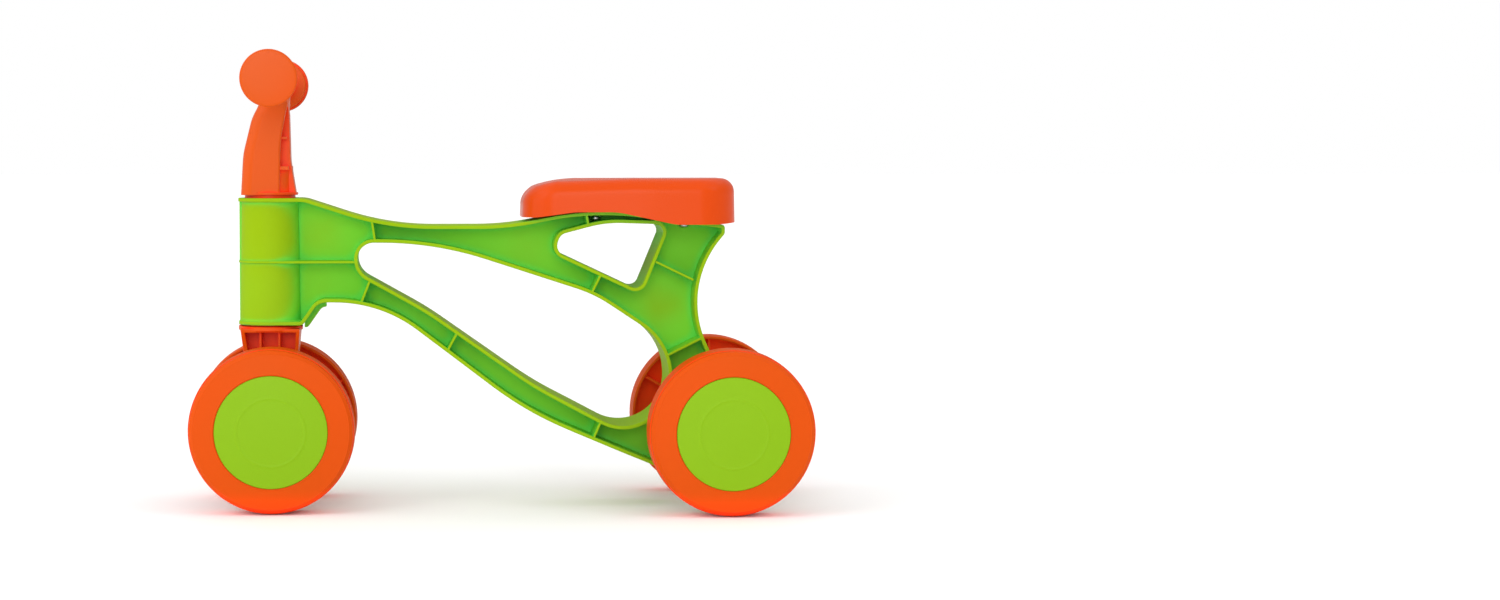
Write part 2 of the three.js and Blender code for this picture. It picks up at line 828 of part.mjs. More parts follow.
function handlebarWasher() {
  const from = screwPlateTop + gap;
  const section = ring(screwRadius + gap, washerRadius - 1, from, from + washerThickness);
  return turnedAboutZ(section, smallSegments, 0, steeringY);
}

// A plain ring that fills the seat at one end of the head bore.
function steeringBush(fromZ) {
  const length = bushSeatDepth - 2 * gap;
  const section = ring(stemRadius + gap, bushSeatBore - gap, fromZ, fromZ + length);
  return turnedAboutZ(section, roundSegments, 0, steeringY);
}

// ---- Wheels, in their own frame: the axis is X, the outer side faces +X, the inner plane is x = 0 ----

function shoulderArc() {
  const centre = [wheelWidth - shoulderRadius, wheelRadius - shoulderRadius];
  return [0, 1, 2, 3].map((k) => {
    const angle = (k * Math.PI) / 6;
    const [across, outward] = [Math.cos(angle), Math.sin(angle)];
    return [centre[0] + shoulderRadius * across, centre[1] + shoulderRadius * outward];
  });
}

function wheelSolid() {
  const seat = wheelWidth + faceRise - capSeatDepth;
  const disc = seat - wallThickness;
  const pocket = nutRadius + 3;
  const tread = wheelRadius - wheelWall;
  const profile = [
    [hubInset, axleRadius + gap],
    [hubInset, hubRadius],
    [disc - 5, hubRadius],
    [disc - 5, hubCollarRadius],
    [disc, hubCollarRadius],
    [wheelWidth - wallThickness, tread - 3],
    [wheelWidth - wallThickness - 3, tread],
    [0, tread],
    [0, wheelRadius],
    ...shoulderArc().reverse(),
    [wheelWidth + faceRise, capRadius + gap],
    [seat, capRadius + gap],
    [seat, pocket],
    [hubEnd, pocket],
    [hubEnd, axleRadius + gap],
    [hubInset, axleRadius + gap],
  ];
  const ribLength = tread + 1 - (hubRadius - 1);
  const ribs = Array.from({ length: wheelRibs }, (_, k) => {
    const plate = new THREE.BoxGeometry(disc - 6, ribThickness, ribLength);
    plate.translate((disc - 6) / 2 + 6.5, 0, hubRadius - 1 + ribLength / 2);
    return solid(plate.rotateX((2 * Math.PI * k) / wheelRibs));
  });
  return join(turnedAboutX(profile, wheelSegments, 0, 0), ...ribs);
}

// The domed cap, with a rim that stands on the wheel's seat.
function capSolid() {
  const seat = wheelWidth + faceRise - capSeatDepth + gap;
  const rim = wheelWidth + faceRise;
  const dome = [0, 0.5, 1].map((share) => {
    const radius = capRadius * share;
    return [rim + capDome * (1 - share * share), radius];
  });
  const under = [0.93, 0.5, 0].map((share) => {
    const radius = capRadius * share;
    return [rim + capDome * (1 - share * share) - capWall, radius];
  });
  const profile = [...dome, [seat, capRadius], [seat, capRadius * 0.93], ...under];
  return turnedAboutX(profile, wheelSegments, 0, 0);
}

function nutSolid() {
  const from = hubEnd + gap;
  return turnedAboutX(
    [
      [from, axleRadius + gap],
      [from, nutRadius],
      [from + 1, nutRadius],
      [from + nutThickness, nutRadius - 3],
      [from + nutThickness, axleRadius + gap],
      [from, axleRadius + gap],
    ],
    smallSegments,
    0,
    0,
  );
}

function washerSolid() {
  const from = hubInset - gap - washerThickness;
  const section = ring(axleRadius + gap, washerRadius, from, from + washerThickness);
  return turnedAboutX(section, smallSegments, 0, 0);
}

function axleSolid(wheelPlane) {
  const end = wheelPlane + wheelWidth - axleShort;
  const chamfer = 0.6;
  const half = [
    [end - chamfer, axleRadius],
    [end, axleRadius - chamfer],
    [end, 0],
  ];
  const mirrored = half.map(([along, radius]) => [-along, radius]).reverse();
  return turnedAboutX([...mirrored, ...half], smallSegments, 0, 0);
}

// ---- Assembly ----

const group = new THREE.Group();

function addPiece(parent, name, made, finish) {
  const mesh = new THREE.Mesh(geometryOf(made), new THREE.MeshStandardMaterial(finish));
  mesh.name = name;
  parent.add(mesh);
  return mesh;
}

// One wheel with its cap, nut and washer, on the end of an axle.
function addWheel(place, side, wheelPlane, axleY) {
  const corner = new THREE.Group();
  corner.position.set(side * wheelPlane, axleY, axleHeight);
  corner.rotation.z = side > 0 ? 0 : Math.PI;
  const label = `${place}_${side > 0 ? "left" : "right"}`;
  addPiece(corner, `${label}_wheel`, wheelSolid(), orange);
  addPiece(corner, `${label}_hub_cap`, capSolid(), capGreen);
  addPiece(corner, `${label}_axle_nut`, nutSolid(), steel);
  addPiece(corner, `${label}_spacer_washer`, washerSolid(), nylon);
  group.add(corner);
}

addPiece(group, "frame", frameSolid(), green);
addPiece(group, "seat", seatSolid(), orange);
for (const place of seatScrewPlaces()) addPiece(group, place.name, seatScrew(place), steel);
addPiece(group, "fork", forkSolid(), orange);
addPiece(group, "handlebar", handlebarSolid(), orange);
addPiece(group, "handlebar_screw", handlebarScrew(), steel);
addPiece(group, "handlebar_washer", handlebarWasher(), steel);
addPiece(group, "upper_steering_bush", steeringBush(headTop - bushSeatDepth + gap), nylon);
addPiece(group, "lower_steering_bush", steeringBush(headBottom + gap), nylon);

addPiece(group, "front_axle", axleSolid(frontWheelPlane), steel).position.set(0, frontAxleY, axleHeight);
addPiece(group, "rear_axle", axleSolid(rearWheelPlane), steel).position.set(0, rearAxleY, axleHeight);
for (const side of [1, -1]) {
  addWheel("front", side, frontWheelPlane, frontAxleY);
  addWheel("rear", side, rearWheelPlane, rearAxleY);
}

export default group;
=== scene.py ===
# A toddler's four-wheeled ride-on in moulded plastic: a ribbed green frame, an orange seat,
# fork, handlebar and hollow wheels, and green hub caps. Lengths below are in millimetres, in the
# frame's own axes (front at -Y, rider's left at +X), until a finished mesh is scaled to metres.
import math

import bmesh
import bpy
from mathutils import Matrix, Vector


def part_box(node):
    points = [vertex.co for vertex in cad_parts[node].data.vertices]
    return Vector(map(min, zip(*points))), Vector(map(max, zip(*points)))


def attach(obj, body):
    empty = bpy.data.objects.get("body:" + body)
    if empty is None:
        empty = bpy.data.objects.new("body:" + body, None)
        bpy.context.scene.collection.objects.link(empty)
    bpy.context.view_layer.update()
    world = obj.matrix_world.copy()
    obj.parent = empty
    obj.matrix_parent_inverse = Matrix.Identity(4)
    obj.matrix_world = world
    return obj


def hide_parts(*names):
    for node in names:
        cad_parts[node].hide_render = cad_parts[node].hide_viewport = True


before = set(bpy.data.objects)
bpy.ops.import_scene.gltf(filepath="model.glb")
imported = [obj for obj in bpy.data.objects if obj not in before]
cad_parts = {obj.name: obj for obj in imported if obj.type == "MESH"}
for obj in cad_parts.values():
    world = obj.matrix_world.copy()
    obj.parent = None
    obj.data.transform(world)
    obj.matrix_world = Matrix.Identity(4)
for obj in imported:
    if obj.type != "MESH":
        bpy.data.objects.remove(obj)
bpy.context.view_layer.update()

MM = 0.001


def box_mm(node):
    low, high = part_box(node)
    return low / MM, high / MM


def middle_mm(node):
    low, high = box_mm(node)
    return (low + high) / 2


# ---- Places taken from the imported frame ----

FRONT_AXLE = middle_mm("front_axle")
REAR_AXLE = middle_mm("rear_axle")
AXLE_Z = FRONT_AXLE.z
HEAD_TOP = box_mm("frame")[1].z
STEERING_Y = middle_mm("handlebar_screw").y
WHEEL_LOW, WHEEL_HIGH = box_mm("front_left_wheel")
WHEEL_RADIUS = (WHEEL_HIGH.z - WHEEL_LOW.z) / 2
FRONT_WHEEL_PLANE = WHEEL_LOW.x
REAR_WHEEL_PLANE = box_mm("rear_left_wheel")[0].x
SEAT_LOW, SEAT_HIGH = box_mm("seat")
BAR_HIGH = box_mm("handlebar")[1]
LOWER_BUSH = box_mm("lower_steering_bush")[0]


def front(distance):
    return FRONT_AXLE.y + distance


def rear(distance):
    return REAR_AXLE.y + distance


def up(height):
    return AXLE_Z + height


# ---- Moulding sizes ----

WALL = 3.0
RIB = 2.0
GAP = 0.3
EDGE = 0.7  # radius of the moulded edges
HEAD_BOTTOM = LOWER_BUSH.z - GAP
HEAD_SLIT = 2.7
FORK_TOP = HEAD_BOTTOM - HEAD_SLIT / 2
BAR_BOTTOM = HEAD_TOP + HEAD_SLIT
PLATE_RADIUS = 29.5
HEAD_FRONT = STEERING_Y - 27.2  # the head's plates and fin end flat here
RING_Z = up(144)
BOSS_RADIUS = 16.5
BOSS_END = REAR_WHEEL_PLANE - 0.9
AXLE_RADIUS = 4.0
STEM_RADIUS = 17.0
STEM_TOP = up(224)
BUSH_SEAT = 22.6
BUSH_FIT = BUSH_SEAT - 0.4
PILOT_HOLE = 2.5
SECTION_EDGE = 0.6  # radius of a rib's long edges

ROUND = 96  # facets of a large turned surface
SMALL = 40


# ---- Mesh making ----


def added(name, data):
    """A new object in the scene that holds a mesh, a lamp or a camera."""
    holder = bpy.data.objects.new(name, data)
    bpy.context.scene.collection.objects.link(holder)
    return holder


def part_from(name, points, faces):
    """A mesh part from points and faces, cleaned and with its faces turned outwards."""
    nearby = 1e-4
    mesh = bpy.data.meshes.new(name)
    mesh.from_pydata([tuple(p) for p in points], [], faces)
    shape = bmesh.new()
    shape.from_mesh(mesh)
    bmesh.ops.remove_doubles(shape, verts=shape.verts, dist=nearby)
    bmesh.ops.dissolve_degenerate(shape, edges=shape.edges, dist=nearby)
    bmesh.ops.recalc_face_normals(shape, faces=shape.faces)
    shape.to_mesh(mesh)
    shape.free()
    return added(name, mesh)


def baked(part):
    """The part with its modifiers applied, as a plain mesh."""
    depsgraph = bpy.context.evaluated_depsgraph_get()
    mesh = bpy.data.meshes.new_from_object(part.evaluated_get(depsgraph))
    part.modifiers.clear()
    part.data = mesh
    return part


def boolean(base, others, operation):
    for other in others:
        modifier = base.modifiers.new("boolean", "BOOLEAN")
        modifier.object = other
        modifier.operation = operation
        modifier.solver = "MANIFOLD"
    baked(base)
    for other in others:
        bpy.data.objects.remove(other)
    return base


def join(base, *others):
    return boolean(base, others, "UNION")


def cut(base, *others):
    return boolean(base, others, "DIFFERENCE")


def common(base, *others):
    return boolean(base, others, "INTERSECT")


def copy_of(part):
    return added(part.name, part.data.copy())


def arc_steps(radius, turn):
    """The number of straight steps that keeps an arc within a fine sag."""
    sag = 0.03
    step = 2 * math.acos(max(0.0, 1 - sag / max(radius, 0.1)))
    return max(3, math.ceil(turn / step))


def arc(u, v, radius, start, finish, steps):
    """Points about a centre, from one angle to another, both in quarter turns."""
    angles = [math.pi / 2 * (start + (finish - start) * k / steps) for k in range(steps + 1)]
    return [(u + radius * math.cos(a), v + radius * math.sin(a)) for a in angles]


def outline(corners, grow=0.0):
    """A closed outline from corners (u, v, radius). A positive grow moves it outwards."""
    count = len(corners)
    points = [Vector(corner[:2]) for corner in corners]
    area = sum(points[i - 1].cross(points[i]) for i in range(count))
    side = 1 if area > 0 else -1
    along = [(points[(i + 1) % count] - points[i]).normalized() for i in range(count)]
    base = [p + Vector((a.y, -a.x)) * side * grow for p, a in zip(points, along)]
    made = []
    for i, corner in enumerate(corners):
        before, after = along[i - 1], along[i]
        turn = before.cross(after)
        offset = base[i] - base[i - 1]
        straight = abs(turn) < 1e-5
        place = base[i] if straight else base[i - 1] + before * (offset.cross(after) / turn)
        if straight or not corner[2]:
            made.append(place)
            continue
        convex = turn * side > 0
        radius = max(0.02, corner[2] + (grow if convex else -grow))
        made += rounded_corner(place, before, after, radius, corner[2])
    return made


def rounded_corner(place, before, after, radius, nominal):
    """The arc that takes a corner off. The nominal radius sets how many steps it has."""
    turn = math.acos(max(-1.0, min(1.0, before.dot(after))))
    handed = 1 if before.cross(after) > 0 else -1
    start = place - before * radius * math.tan(turn / 2)
    centre = start + Vector((-before.y, before.x)) * radius * handed
    arm = start - centre
    steps = arc_steps(nominal, turn)
    points = []
    for k in range(steps + 1):
        angle = handed * turn * k / steps
        c, s = math.cos(angle), math.sin(angle)
        points.append(centre + Vector((arm.x * c - arm.y * s, arm.x * s + arm.y * c)))
    return points


def side_plane(u, v, w):
    return (w, u, v)


def front_plane(u, v, w):
    return (u, w, v)


def plan_plane(u, v, w):
    return (u, v, w)


def loft(name, rings, closed_ends=True):
    """Joins rings of equal point count, in order, into one closed skin."""
    size = len(rings[0])
    points = [p for ring in rings for p in ring]
    faces = []
    for layer in range(len(rings) - 1):
        low, high = layer * size, (layer + 1) * size
        for i in range(size):
            j = (i + 1) % size
            faces.append((low + i, low + j, high + j, high + i))
    if closed_ends:
        faces.append(tuple(range(size)))
        faces.append(tuple(range(len(points) - size, len(points))))
    return part_from(name, points, faces)


def rim_steps(rim, steps=3):
    """A rounded rim as (rise, inset) steps, from the end face out to the full outline."""
    if not rim:
        return [(0.0, 0.0)]
    angles = [math.pi / 2 * k / steps for k in range(steps + 1)]
    return [(rim * (1 - math.cos(a)), rim * (1 - math.sin(a))) for a in angles]


def slab(corners, low, high, plane, rim=EDGE, grow=0.0):
    """A plate: an outline given a thickness along the third axis, with rounded rims."""
    layers = rim_steps(rim)
    rings = [(low + rise, inset) for rise, inset in layers]
    rings += [(high - rise, inset) for rise, inset in reversed(layers)]
    skin = [[plane(p.x, p.y, w) for p in outline(corners, grow - inset)] for w, inset in rings]
    return loft("slab", skin)


def side_plate(corners, half, rim=EDGE, grow=0.0):
    """A slab drawn from the side, in Y and Z, that reaches as far to the left as to the right."""
    return slab(corners, -half, half, side_plane, rim, grow)


def block(x0, x1, y0, y1, z0, z1, radius=0):
    """A box. Its upright edges may be rounded."""
    corners = [(x0, y0, radius), (x1, y0, radius), (x1, y1, radius), (x0, y1, radius)]
    return slab(corners, z0, z1, plan_plane, 0)


def turned(profile, axis, at, facets=ROUND):
    """A profile of (distance along the axis, radius) turned about X or Z through a point."""
    points, rings, faces = [], [], []
    for along, radius in profile:
        count = facets if radius else 1
        rings.append(range(len(points), len(points) + count))
        for k in range(count):
            angle = 2 * math.pi * k / facets
            points.append((along, radius * math.cos(angle), radius * math.sin(angle)))
    for low, high in zip(rings, rings[1:]):
        if len(low) == len(high) == 1:
            continue
        for k in range(facets):
            n = (k + 1) % facets
            ends = [low[k % len(low)], low[n % len(low)], high[n % len(high)], high[k % len(high)]]
            faces.append(tuple(dict.fromkeys(ends)))
    order = (0, 2, 1) if axis == "X" else (1, 2, 0)
    placed = [tuple(point[i] + shift for i, shift in zip(order, at)) for point in points]
    return part_from("turned", placed, faces)


def about_steering(profile, facets=ROUND):
    return turned(profile, "Z", (0, STEERING_Y, 0), facets)


def post(radius, low, high, at):
    """An upright round post or bore through a place."""
    return turned(rod(radius, low, high), "Z", (at.x, at.y, 0), SMALL)


def rod(radius, low, high, rim=0.0):
    """The profile of a plain rod with rounded ends."""
    bend = rim_steps(rim)
    start = [(low + rise, radius - inset) for rise, inset in bend]
    finish = [(high - rise, radius - inset) for rise, inset in reversed(bend)]
    return [(low, 0)] + start + finish + [(high, 0)]


def axle_bore(axle):
    return turned(rod(AXLE_RADIUS + GAP, -90, 90), "X", axle, SMALL)


def resampled(points, spacing, closed=True):
    """The same line with its points no further apart than about the spacing."""
    made = []
    for a, b in zip(points, points[1:] + points[:1] if closed else points[1:]):
        steps = max(1, round((b - a).length / spacing))
        made += [a.lerp(b, k / steps) for k in range(steps)]
    return made if closed else made + [points[-1]]


def smooth_between(knots, at):
    """A smooth value through knots (place, value)."""
    if at <= knots[0][0]:
        return knots[0][1]
    for (a, low), (b, high) in zip(knots, knots[1:]):
        if at <= b:
            share = (at - a) / (b - a)
            return low + (high - low) * share * share * (3 - 2 * share)
    return knots[-1][1]


# ---- Frame ----

FRAME_LINE = [
    (STEERING_Y, HEAD_TOP, 0), (front(28), HEAD_TOP, 30), (front(101), up(175.8), 250),
    (front(205), up(175.8), 250), (rear(-115), up(191.3), 250), (rear(0.5), up(176), 3),
    (rear(0.5), up(168.5), 5), (rear(-38.5), up(122), 87), (rear(21.7), up(-7.2), 17),
    (rear(-42.5), up(-43), 14), (rear(-173.5), up(12.5), 300), (front(93.5), up(109), 120),
    (front(40), up(109), 12), (front(26), HEAD_BOTTOM, 5), (STEERING_Y, HEAD_BOTTOM, 0),
]

BIG_WINDOW = [
    (front(74), up(161), 14), (front(142), up(160.5), 300), (rear(-114.5), up(116), 120),
    (rear(-48), up(72), 56), (rear(-47.5), up(-26.5), 40), (rear(-165.5), up(36), 300),
    (front(135), up(102), 300), (front(74), up(136), 18),
]

SEAT_WINDOW = [
    (rear(-148.5), up(153.5), 9), (rear(-144), up(168), 9), (rear(-104.5), up(178.5), 100),
    (rear(-50.5), up(176.5), 7), (rear(-74), up(118.5), 8),
]

FRAME_HALF_WIDTHS = [
    (front(46), PLATE_RADIUS), (front(112), 27.0), (front(140), 27.4), (front(200), 29.2),
    (front(235), 31.6), (front(270), 34.0), (rear(-98), 34.0), (rear(-58), 29.5),
]

# Cross ribs from (y, z) to (y, z). Both ends run on into the flanges they join.
CROSS_RIBS = [
    (front(86.5), up(180), front(89.5), up(160)), (front(85.5), up(130), front(76), up(106)),
    (rear(-231.5), up(86), rear(-243), up(65)), (rear(-106.5), up(8), rear(-116.5), up(-15)),
    (rear(-107.5), up(135), rear(-117.5), up(115)),
    (rear(-121.5), up(187.5), rear(-119.5), up(176)), (rear(-60.5), up(181), rear(-59.5), up(177)),
    (rear(-60), up(144), rear(-27), up(128)), (rear(-50), up(61.5), rear(-17), up(78)),
]


def frame_half_width(y):
    return smooth_between(FRAME_HALF_WIDTHS, y)


def rounded_section(half, low, high, low_radius, high_radius):
    """The points (x, depth) across a strip: a rectangle with its corners taken off."""
    corners = [
        (half - high_radius, high - high_radius, high_radius),
        (high_radius - half, high - high_radius, high_radius),
        (low_radius - half, low + low_radius, low_radius),
        (half - low_radius, low + low_radius, low_radius),
    ]
    section = []
    for quarter, (x, depth, radius) in enumerate(corners):
        section += arc(x, depth, radius, quarter, quarter + 1, 3)
    return section


def flange(points, free_side, closed):
    """A strip along a line, as wide as the frame. free_side turns the way its free face looks."""
    count = len(points)
    rings = []
    for i, point in enumerate(points):
        ahead = points[(i + 1) % count] if closed else points[min(i + 1, count - 1)]
        behind = points[i - 1] if closed else points[max(i - 1, 0)]
        along = (ahead - behind).normalized()
        out = Vector((along.y, -along.x)) * free_side
        section = rounded_section(frame_half_width(point.x), -WALL, 0, 0.4, EDGE + 0.2)
        rings.append([(x, *(point + out * depth)) for x, depth in section])
    if closed:
        rings.append(rings[0])
    return loft("flange", rings, closed_ends=not closed)


def cross_rib(y0, z0, y1, z1):
    ends = [Vector((y0, z0)), Vector((y1, z1))]
    along = (ends[1] - ends[0]).normalized()
    across = Vector((-along.y, along.x))
    half = min(frame_half_width(y0), frame_half_width(y1)) - 0.25
    section = rounded_section(half, -RIB / 2, RIB / 2, SECTION_EDGE, SECTION_EDGE)
    return loft("rib", [[(x, *(end + across * t)) for x, t in section] for end in ends])


def frame_web():
    """The centre plate. It runs on into the middle of each flange."""
    overlap = 1.2
    holes = [side_plate(hole, 10, 0, overlap) for hole in (BIG_WINDOW, SEAT_WINDOW)]
    return cut(side_plate(FRAME_LINE, WALL / 2, 0, -overlap), *holes)


def head_tube():
    """The steering head: a slightly tapered tube between two plates, with a ring around it."""
    bottom, top, ring = 26.3, 25.0, 28.0
    fillet = 1.6
    low, high = HEAD_BOTTOM + WALL, HEAD_TOP - WALL
    bends = [(fillet * (1 - math.sin(a)), fillet * (1 - math.cos(a))) for a in (0.3, 0.7, 1.1, 1.4)]
    profile = [(HEAD_BOTTOM, 0), (HEAD_BOTTOM, PLATE_RADIUS - EDGE), (HEAD_BOTTOM + EDGE, PLATE_RADIUS)]
    profile += [(low - 0.5, PLATE_RADIUS), (low, PLATE_RADIUS - 0.5), (low, bottom + fillet)]
    profile += [(low + rise, bottom + out) for out, rise in bends]
    profile += [(RING_Z - 2.2, bottom - 0.55), (RING_Z - 1.3, bottom - 0.2), (RING_Z - 1, bottom + 0.6)]
    profile += [(RING_Z - 1, ring - 0.6), (RING_Z - 0.5, ring)]
    profile += [(RING_Z + 0.5, ring), (RING_Z + 1, ring - 0.6)]
    profile += [(RING_Z + 1, bottom + 0.6), (RING_Z + 1.3, bottom - 0.2), (RING_Z + 2.2, bottom - 0.6)]
    profile += [(high - rise, top + out) for out, rise in reversed(bends)]
    profile += [(high, top + fillet), (high, PLATE_RADIUS - 0.5), (high + 0.5, PLATE_RADIUS)]
    profile += [(HEAD_TOP - EDGE, PLATE_RADIUS), (HEAD_TOP, PLATE_RADIUS - EDGE), (HEAD_TOP, 0)]
    return about_steering(profile)


def head_fin():
    reach = HEAD_FRONT + 0.2
    corners = [(-1.3, reach, 0.6), (1.3, reach, 0.6), (1.6, STEERING_Y, 0), (-1.6, STEERING_Y, 0)]
    return slab(corners, HEAD_BOTTOM + 0.5, HEAD_TOP - 0.5, plan_plane, 0)


def head_bore():
    """The bore with a seat for a bush at each end and a lead-in at each mouth."""
    bore, depth, lead = 20.5, 14, 1.7
    low, high = HEAD_BOTTOM + depth, HEAD_TOP - depth
    profile = [(HEAD_BOTTOM - 1, 0), (HEAD_BOTTOM - 1, BUSH_SEAT + lead), (HEAD_BOTTOM + EDGE, BUSH_SEAT)]
    profile += [(low, BUSH_SEAT), (low, bore), (high, bore), (high, BUSH_SEAT)]
    profile += [(HEAD_TOP - EDGE, BUSH_SEAT), (HEAD_TOP + 1, BUSH_SEAT + lead), (HEAD_TOP + 1, 0)]
    return about_steering(profile)


def head_side_rib():
    """The level rib that runs from the head's ring to the big window, on both sides."""
    half = [(PLATE_RADIUS - 1.4, STEERING_Y, 0), (PLATE_RADIUS - 0.5, front(40), 0), (27.8, front(77), 0)]
    corners = half + [(-x, y, radius) for x, y, radius in reversed(half)]
    return slab(corners, RING_Z - RIB / 2, RING_Z + RIB / 2, plan_plane, SECTION_EDGE)


def rear_boss():
    """The barrel around the rear axle: an open shell, a hub inside it and four spokes a side."""
    shell, hub, end = BOSS_RADIUS - WALL, 8.0, BOSS_END - 1
    half = [(BOSS_END, AXLE_RADIUS + GAP), (BOSS_END, hub - 0.4), (BOSS_END - 0.4, hub), (3.4, hub)]
    half += [(3, hub + 0.4), (3, shell - 0.8), (3.8, shell), (end - 0.4, shell)]
    half += [(end, shell + 0.4), (end, BOSS_RADIUS - EDGE), (end - EDGE, BOSS_RADIUS)]
    mirrored = [(-along, radius) for along, radius in half]
    boss = turned(mirrored + half[::-1] + mirrored[:1], "X", REAR_AXLE)
    spokes = []
    for side in (1, -1):
        across = sorted((side * 2.0, side * (BOSS_END - 4)))
        for way in (1, -1):
            near, far = sorted((way * (hub - 1), way * (shell + 1)))
            spokes.append(block(*across, rear(near), rear(far), up(-1), up(1)))
            spokes.append(block(*across, rear(-1), rear(1), up(near), up(far)))
    return join(boss, *spokes)


def lower_end_shape():
    """Takes the corners off the lower flange where it turns up to the axle boss, seen in plan."""
    start, finish, half, top = rear(-90), rear(-30), 34.6, up(-27)
    keep = [(-half, start - 5, 0), (half, start - 5, 0), (half, finish - 14, 26), (-half, finish - 14, 26)]
    return cut(block(-45, 45, start, finish, 0, top), slab(keep, -5, top + 5, plan_plane, 0))


def steering_lug():
    """The thick pad behind the foot of the head."""
    half = 8.0
    outer = side_plate(FRAME_LINE, half, 0.8, 5)
    inner = side_plate(FRAME_LINE, half + 2, 0, -1)
    return common(cut(outer, inner), block(-20, 20, front(27), front(46), HEAD_BOTTOM - 3, up(109)))


def seat_screw_places():
    names = [f"seat_screw_{place}_{side}" for place in ("front", "rear") for side in ("left", "right")]
    return [(name, middle_mm(name)) for name in names]


def make_frame():
    windows = (BIG_WINDOW, SEAT_WINDOW)
    strips = [flange(resampled(outline(FRAME_LINE), 4, closed=False), -1, closed=False)]
    strips += [flange(resampled(outline(window), 4), 1, closed=True) for window in windows]
    inside = cut(side_plate(FRAME_LINE, 50, 0, -1), *[side_plate(window, 60, 0, 1) for window in windows])
    ribs = common(join(head_side_rib(), *[cross_rib(*rib) for rib in CROSS_RIBS]), inside)
    moulding = join(frame_web(), *strips, ribs)
    moulding = cut(moulding, lower_end_shape(), turned(rod(BOSS_RADIUS - 0.6, -60, 60), "X", REAR_AXLE))
    behind = block(-40, 40, HEAD_FRONT, front(60), HEAD_BOTTOM - 1, HEAD_TOP + 1)
    moulding = join(moulding, common(head_tube(), behind), head_fin(), rear_boss(), steering_lug())
    holes = [post(PILOT_HOLE, at.z - 14, at.z + 12, at) for _, at in seat_screw_places()]
    return cut(moulding, head_bore(), axle_bore(REAR_AXLE), *holes)


# ---- Seat ----

SEAT_FRONT = SEAT_LOW.y + 1.5
SEAT_REAR = SEAT_HIGH.y - 1.5
SEAT_TOP = SEAT_HIGH.z
SEAT_SHOULDER = 12.0
SEAT_WALL = 2.6
SEAT_HALF = 52

SEAT_PLAN = [
    (-47, SEAT_FRONT, 30), (47, SEAT_FRONT, 30), (SEAT_HALF, rear(-70), 420),
    (SEAT_HALF, SEAT_REAR, 34), (-SEAT_HALF, SEAT_REAR, 34), (-SEAT_HALF, rear(-70), 420),
]

SEAT_UNDERSIDE = [
    (SEAT_FRONT - 20, up(183), 0), (SEAT_FRONT + 10, up(183), 40), (rear(-132), up(187.8), 60),
    (rear(-95), up(187.8), 60), (rear(-45), up(177), 40), (rear(-8), up(177), 20),
    (SEAT_REAR + 20, up(180), 0), (SEAT_REAR + 20, up(100), 0), (SEAT_FRONT - 20, up(100), 0),
]


def seat_form(inset):
    """The seat's outer form, or its hollow when drawn in by an inset, down to well below it."""
    draft, rings_in = 1.2, 8
    layers = [(inset - draft, SEAT_TOP - 60), (inset, SEAT_TOP - 14 - inset)]
    layers += [(inset + run, SEAT_TOP - inset - drop) for run, drop in rim_steps(SEAT_SHOULDER - inset, 8)]
    rings = [[Vector((*p, z)) for p in resampled(outline(SEAT_PLAN, -shrink), 200)] for shrink, z in layers]
    edge = rings[-1]
    for k in range(1, rings_in):
        ring = []
        for p in edge:
            spine = Vector((0, min(max(p.y, SEAT_FRONT + 50), SEAT_REAR - 52), p.z))
            ring.append(p.lerp(spine, k / rings_in))
        rings.append(ring)
    for p in (point for ring in rings[1:] for point in ring):
        crown = 0.5 * (1 - (p.x / SEAT_HALF) ** 2) * (p.z - nose_drop(p.y) > SEAT_TOP - 8)
        p.z += crown - nose_drop(p.y)
    return loft("seat", [[tuple(p) for p in ring] for ring in rings])


def nose_drop(y):
    """How far the seat's front end bends down."""
    start = rear(-126)
    share = max(0.0, (start - y) / (start - SEAT_FRONT))
    return 10.5 * share ** 1.8


def make_seat():
    foot, places = up(150), [at for _, at in seat_screw_places()]
    shell = cut(seat_form(0), seat_form(SEAT_WALL), side_plate(SEAT_UNDERSIDE, 80, 0))
    radius, fin, top = 5.5, 14, SEAT_TOP - 2
    pillars = [post(radius, foot, top, at) for at in places]
    pillars += [block(at.x - 1, at.x + 1, at.y - fin, at.y + fin, foot, top) for at in places]
    pillars = cut(join(*pillars), side_plate(FRAME_LINE, 45, 0, GAP))
    holes = [post(2.3, foot, min(at.z + 30, SEAT_TOP - 5), at) for at in places]
    return cut(join(cut(shell, side_plate(FRAME_LINE, 36, 0, GAP)), pillars), *holes)


# ---- Fork ----

FORK_HALF_WIDTH = 18.6
FORK_FLANGE = 28.2
FORK_BOTTOM = up(-17)
STUB_END = FRONT_WHEEL_PLANE - 0.9

FORK_SIDE = [
    (front(-28.3), FORK_TOP - 2, 0), (front(-24.6), up(60), 40), (front(-21), up(0), 60),
    (front(-20), FORK_BOTTOM, 3.4), (front(20), FORK_BOTTOM, 3.4), (front(21), up(0), 60),
    (front(21.4), up(60), 40), (front(23.3), FORK_TOP - 2, 0),
]


def fork_face_corners():
    flare = FORK_TOP - 4
    half = [
        (25.2, flare + 2, 0),
        (25.2, flare, 0),
        (FORK_HALF_WIDTH + 0.3, flare - 15, 24),
        (FORK_HALF_WIDTH - 0.8, FORK_BOTTOM - 1, 0),
    ]
    return half + [(-x, z, radius) for x, z, radius in reversed(half)]


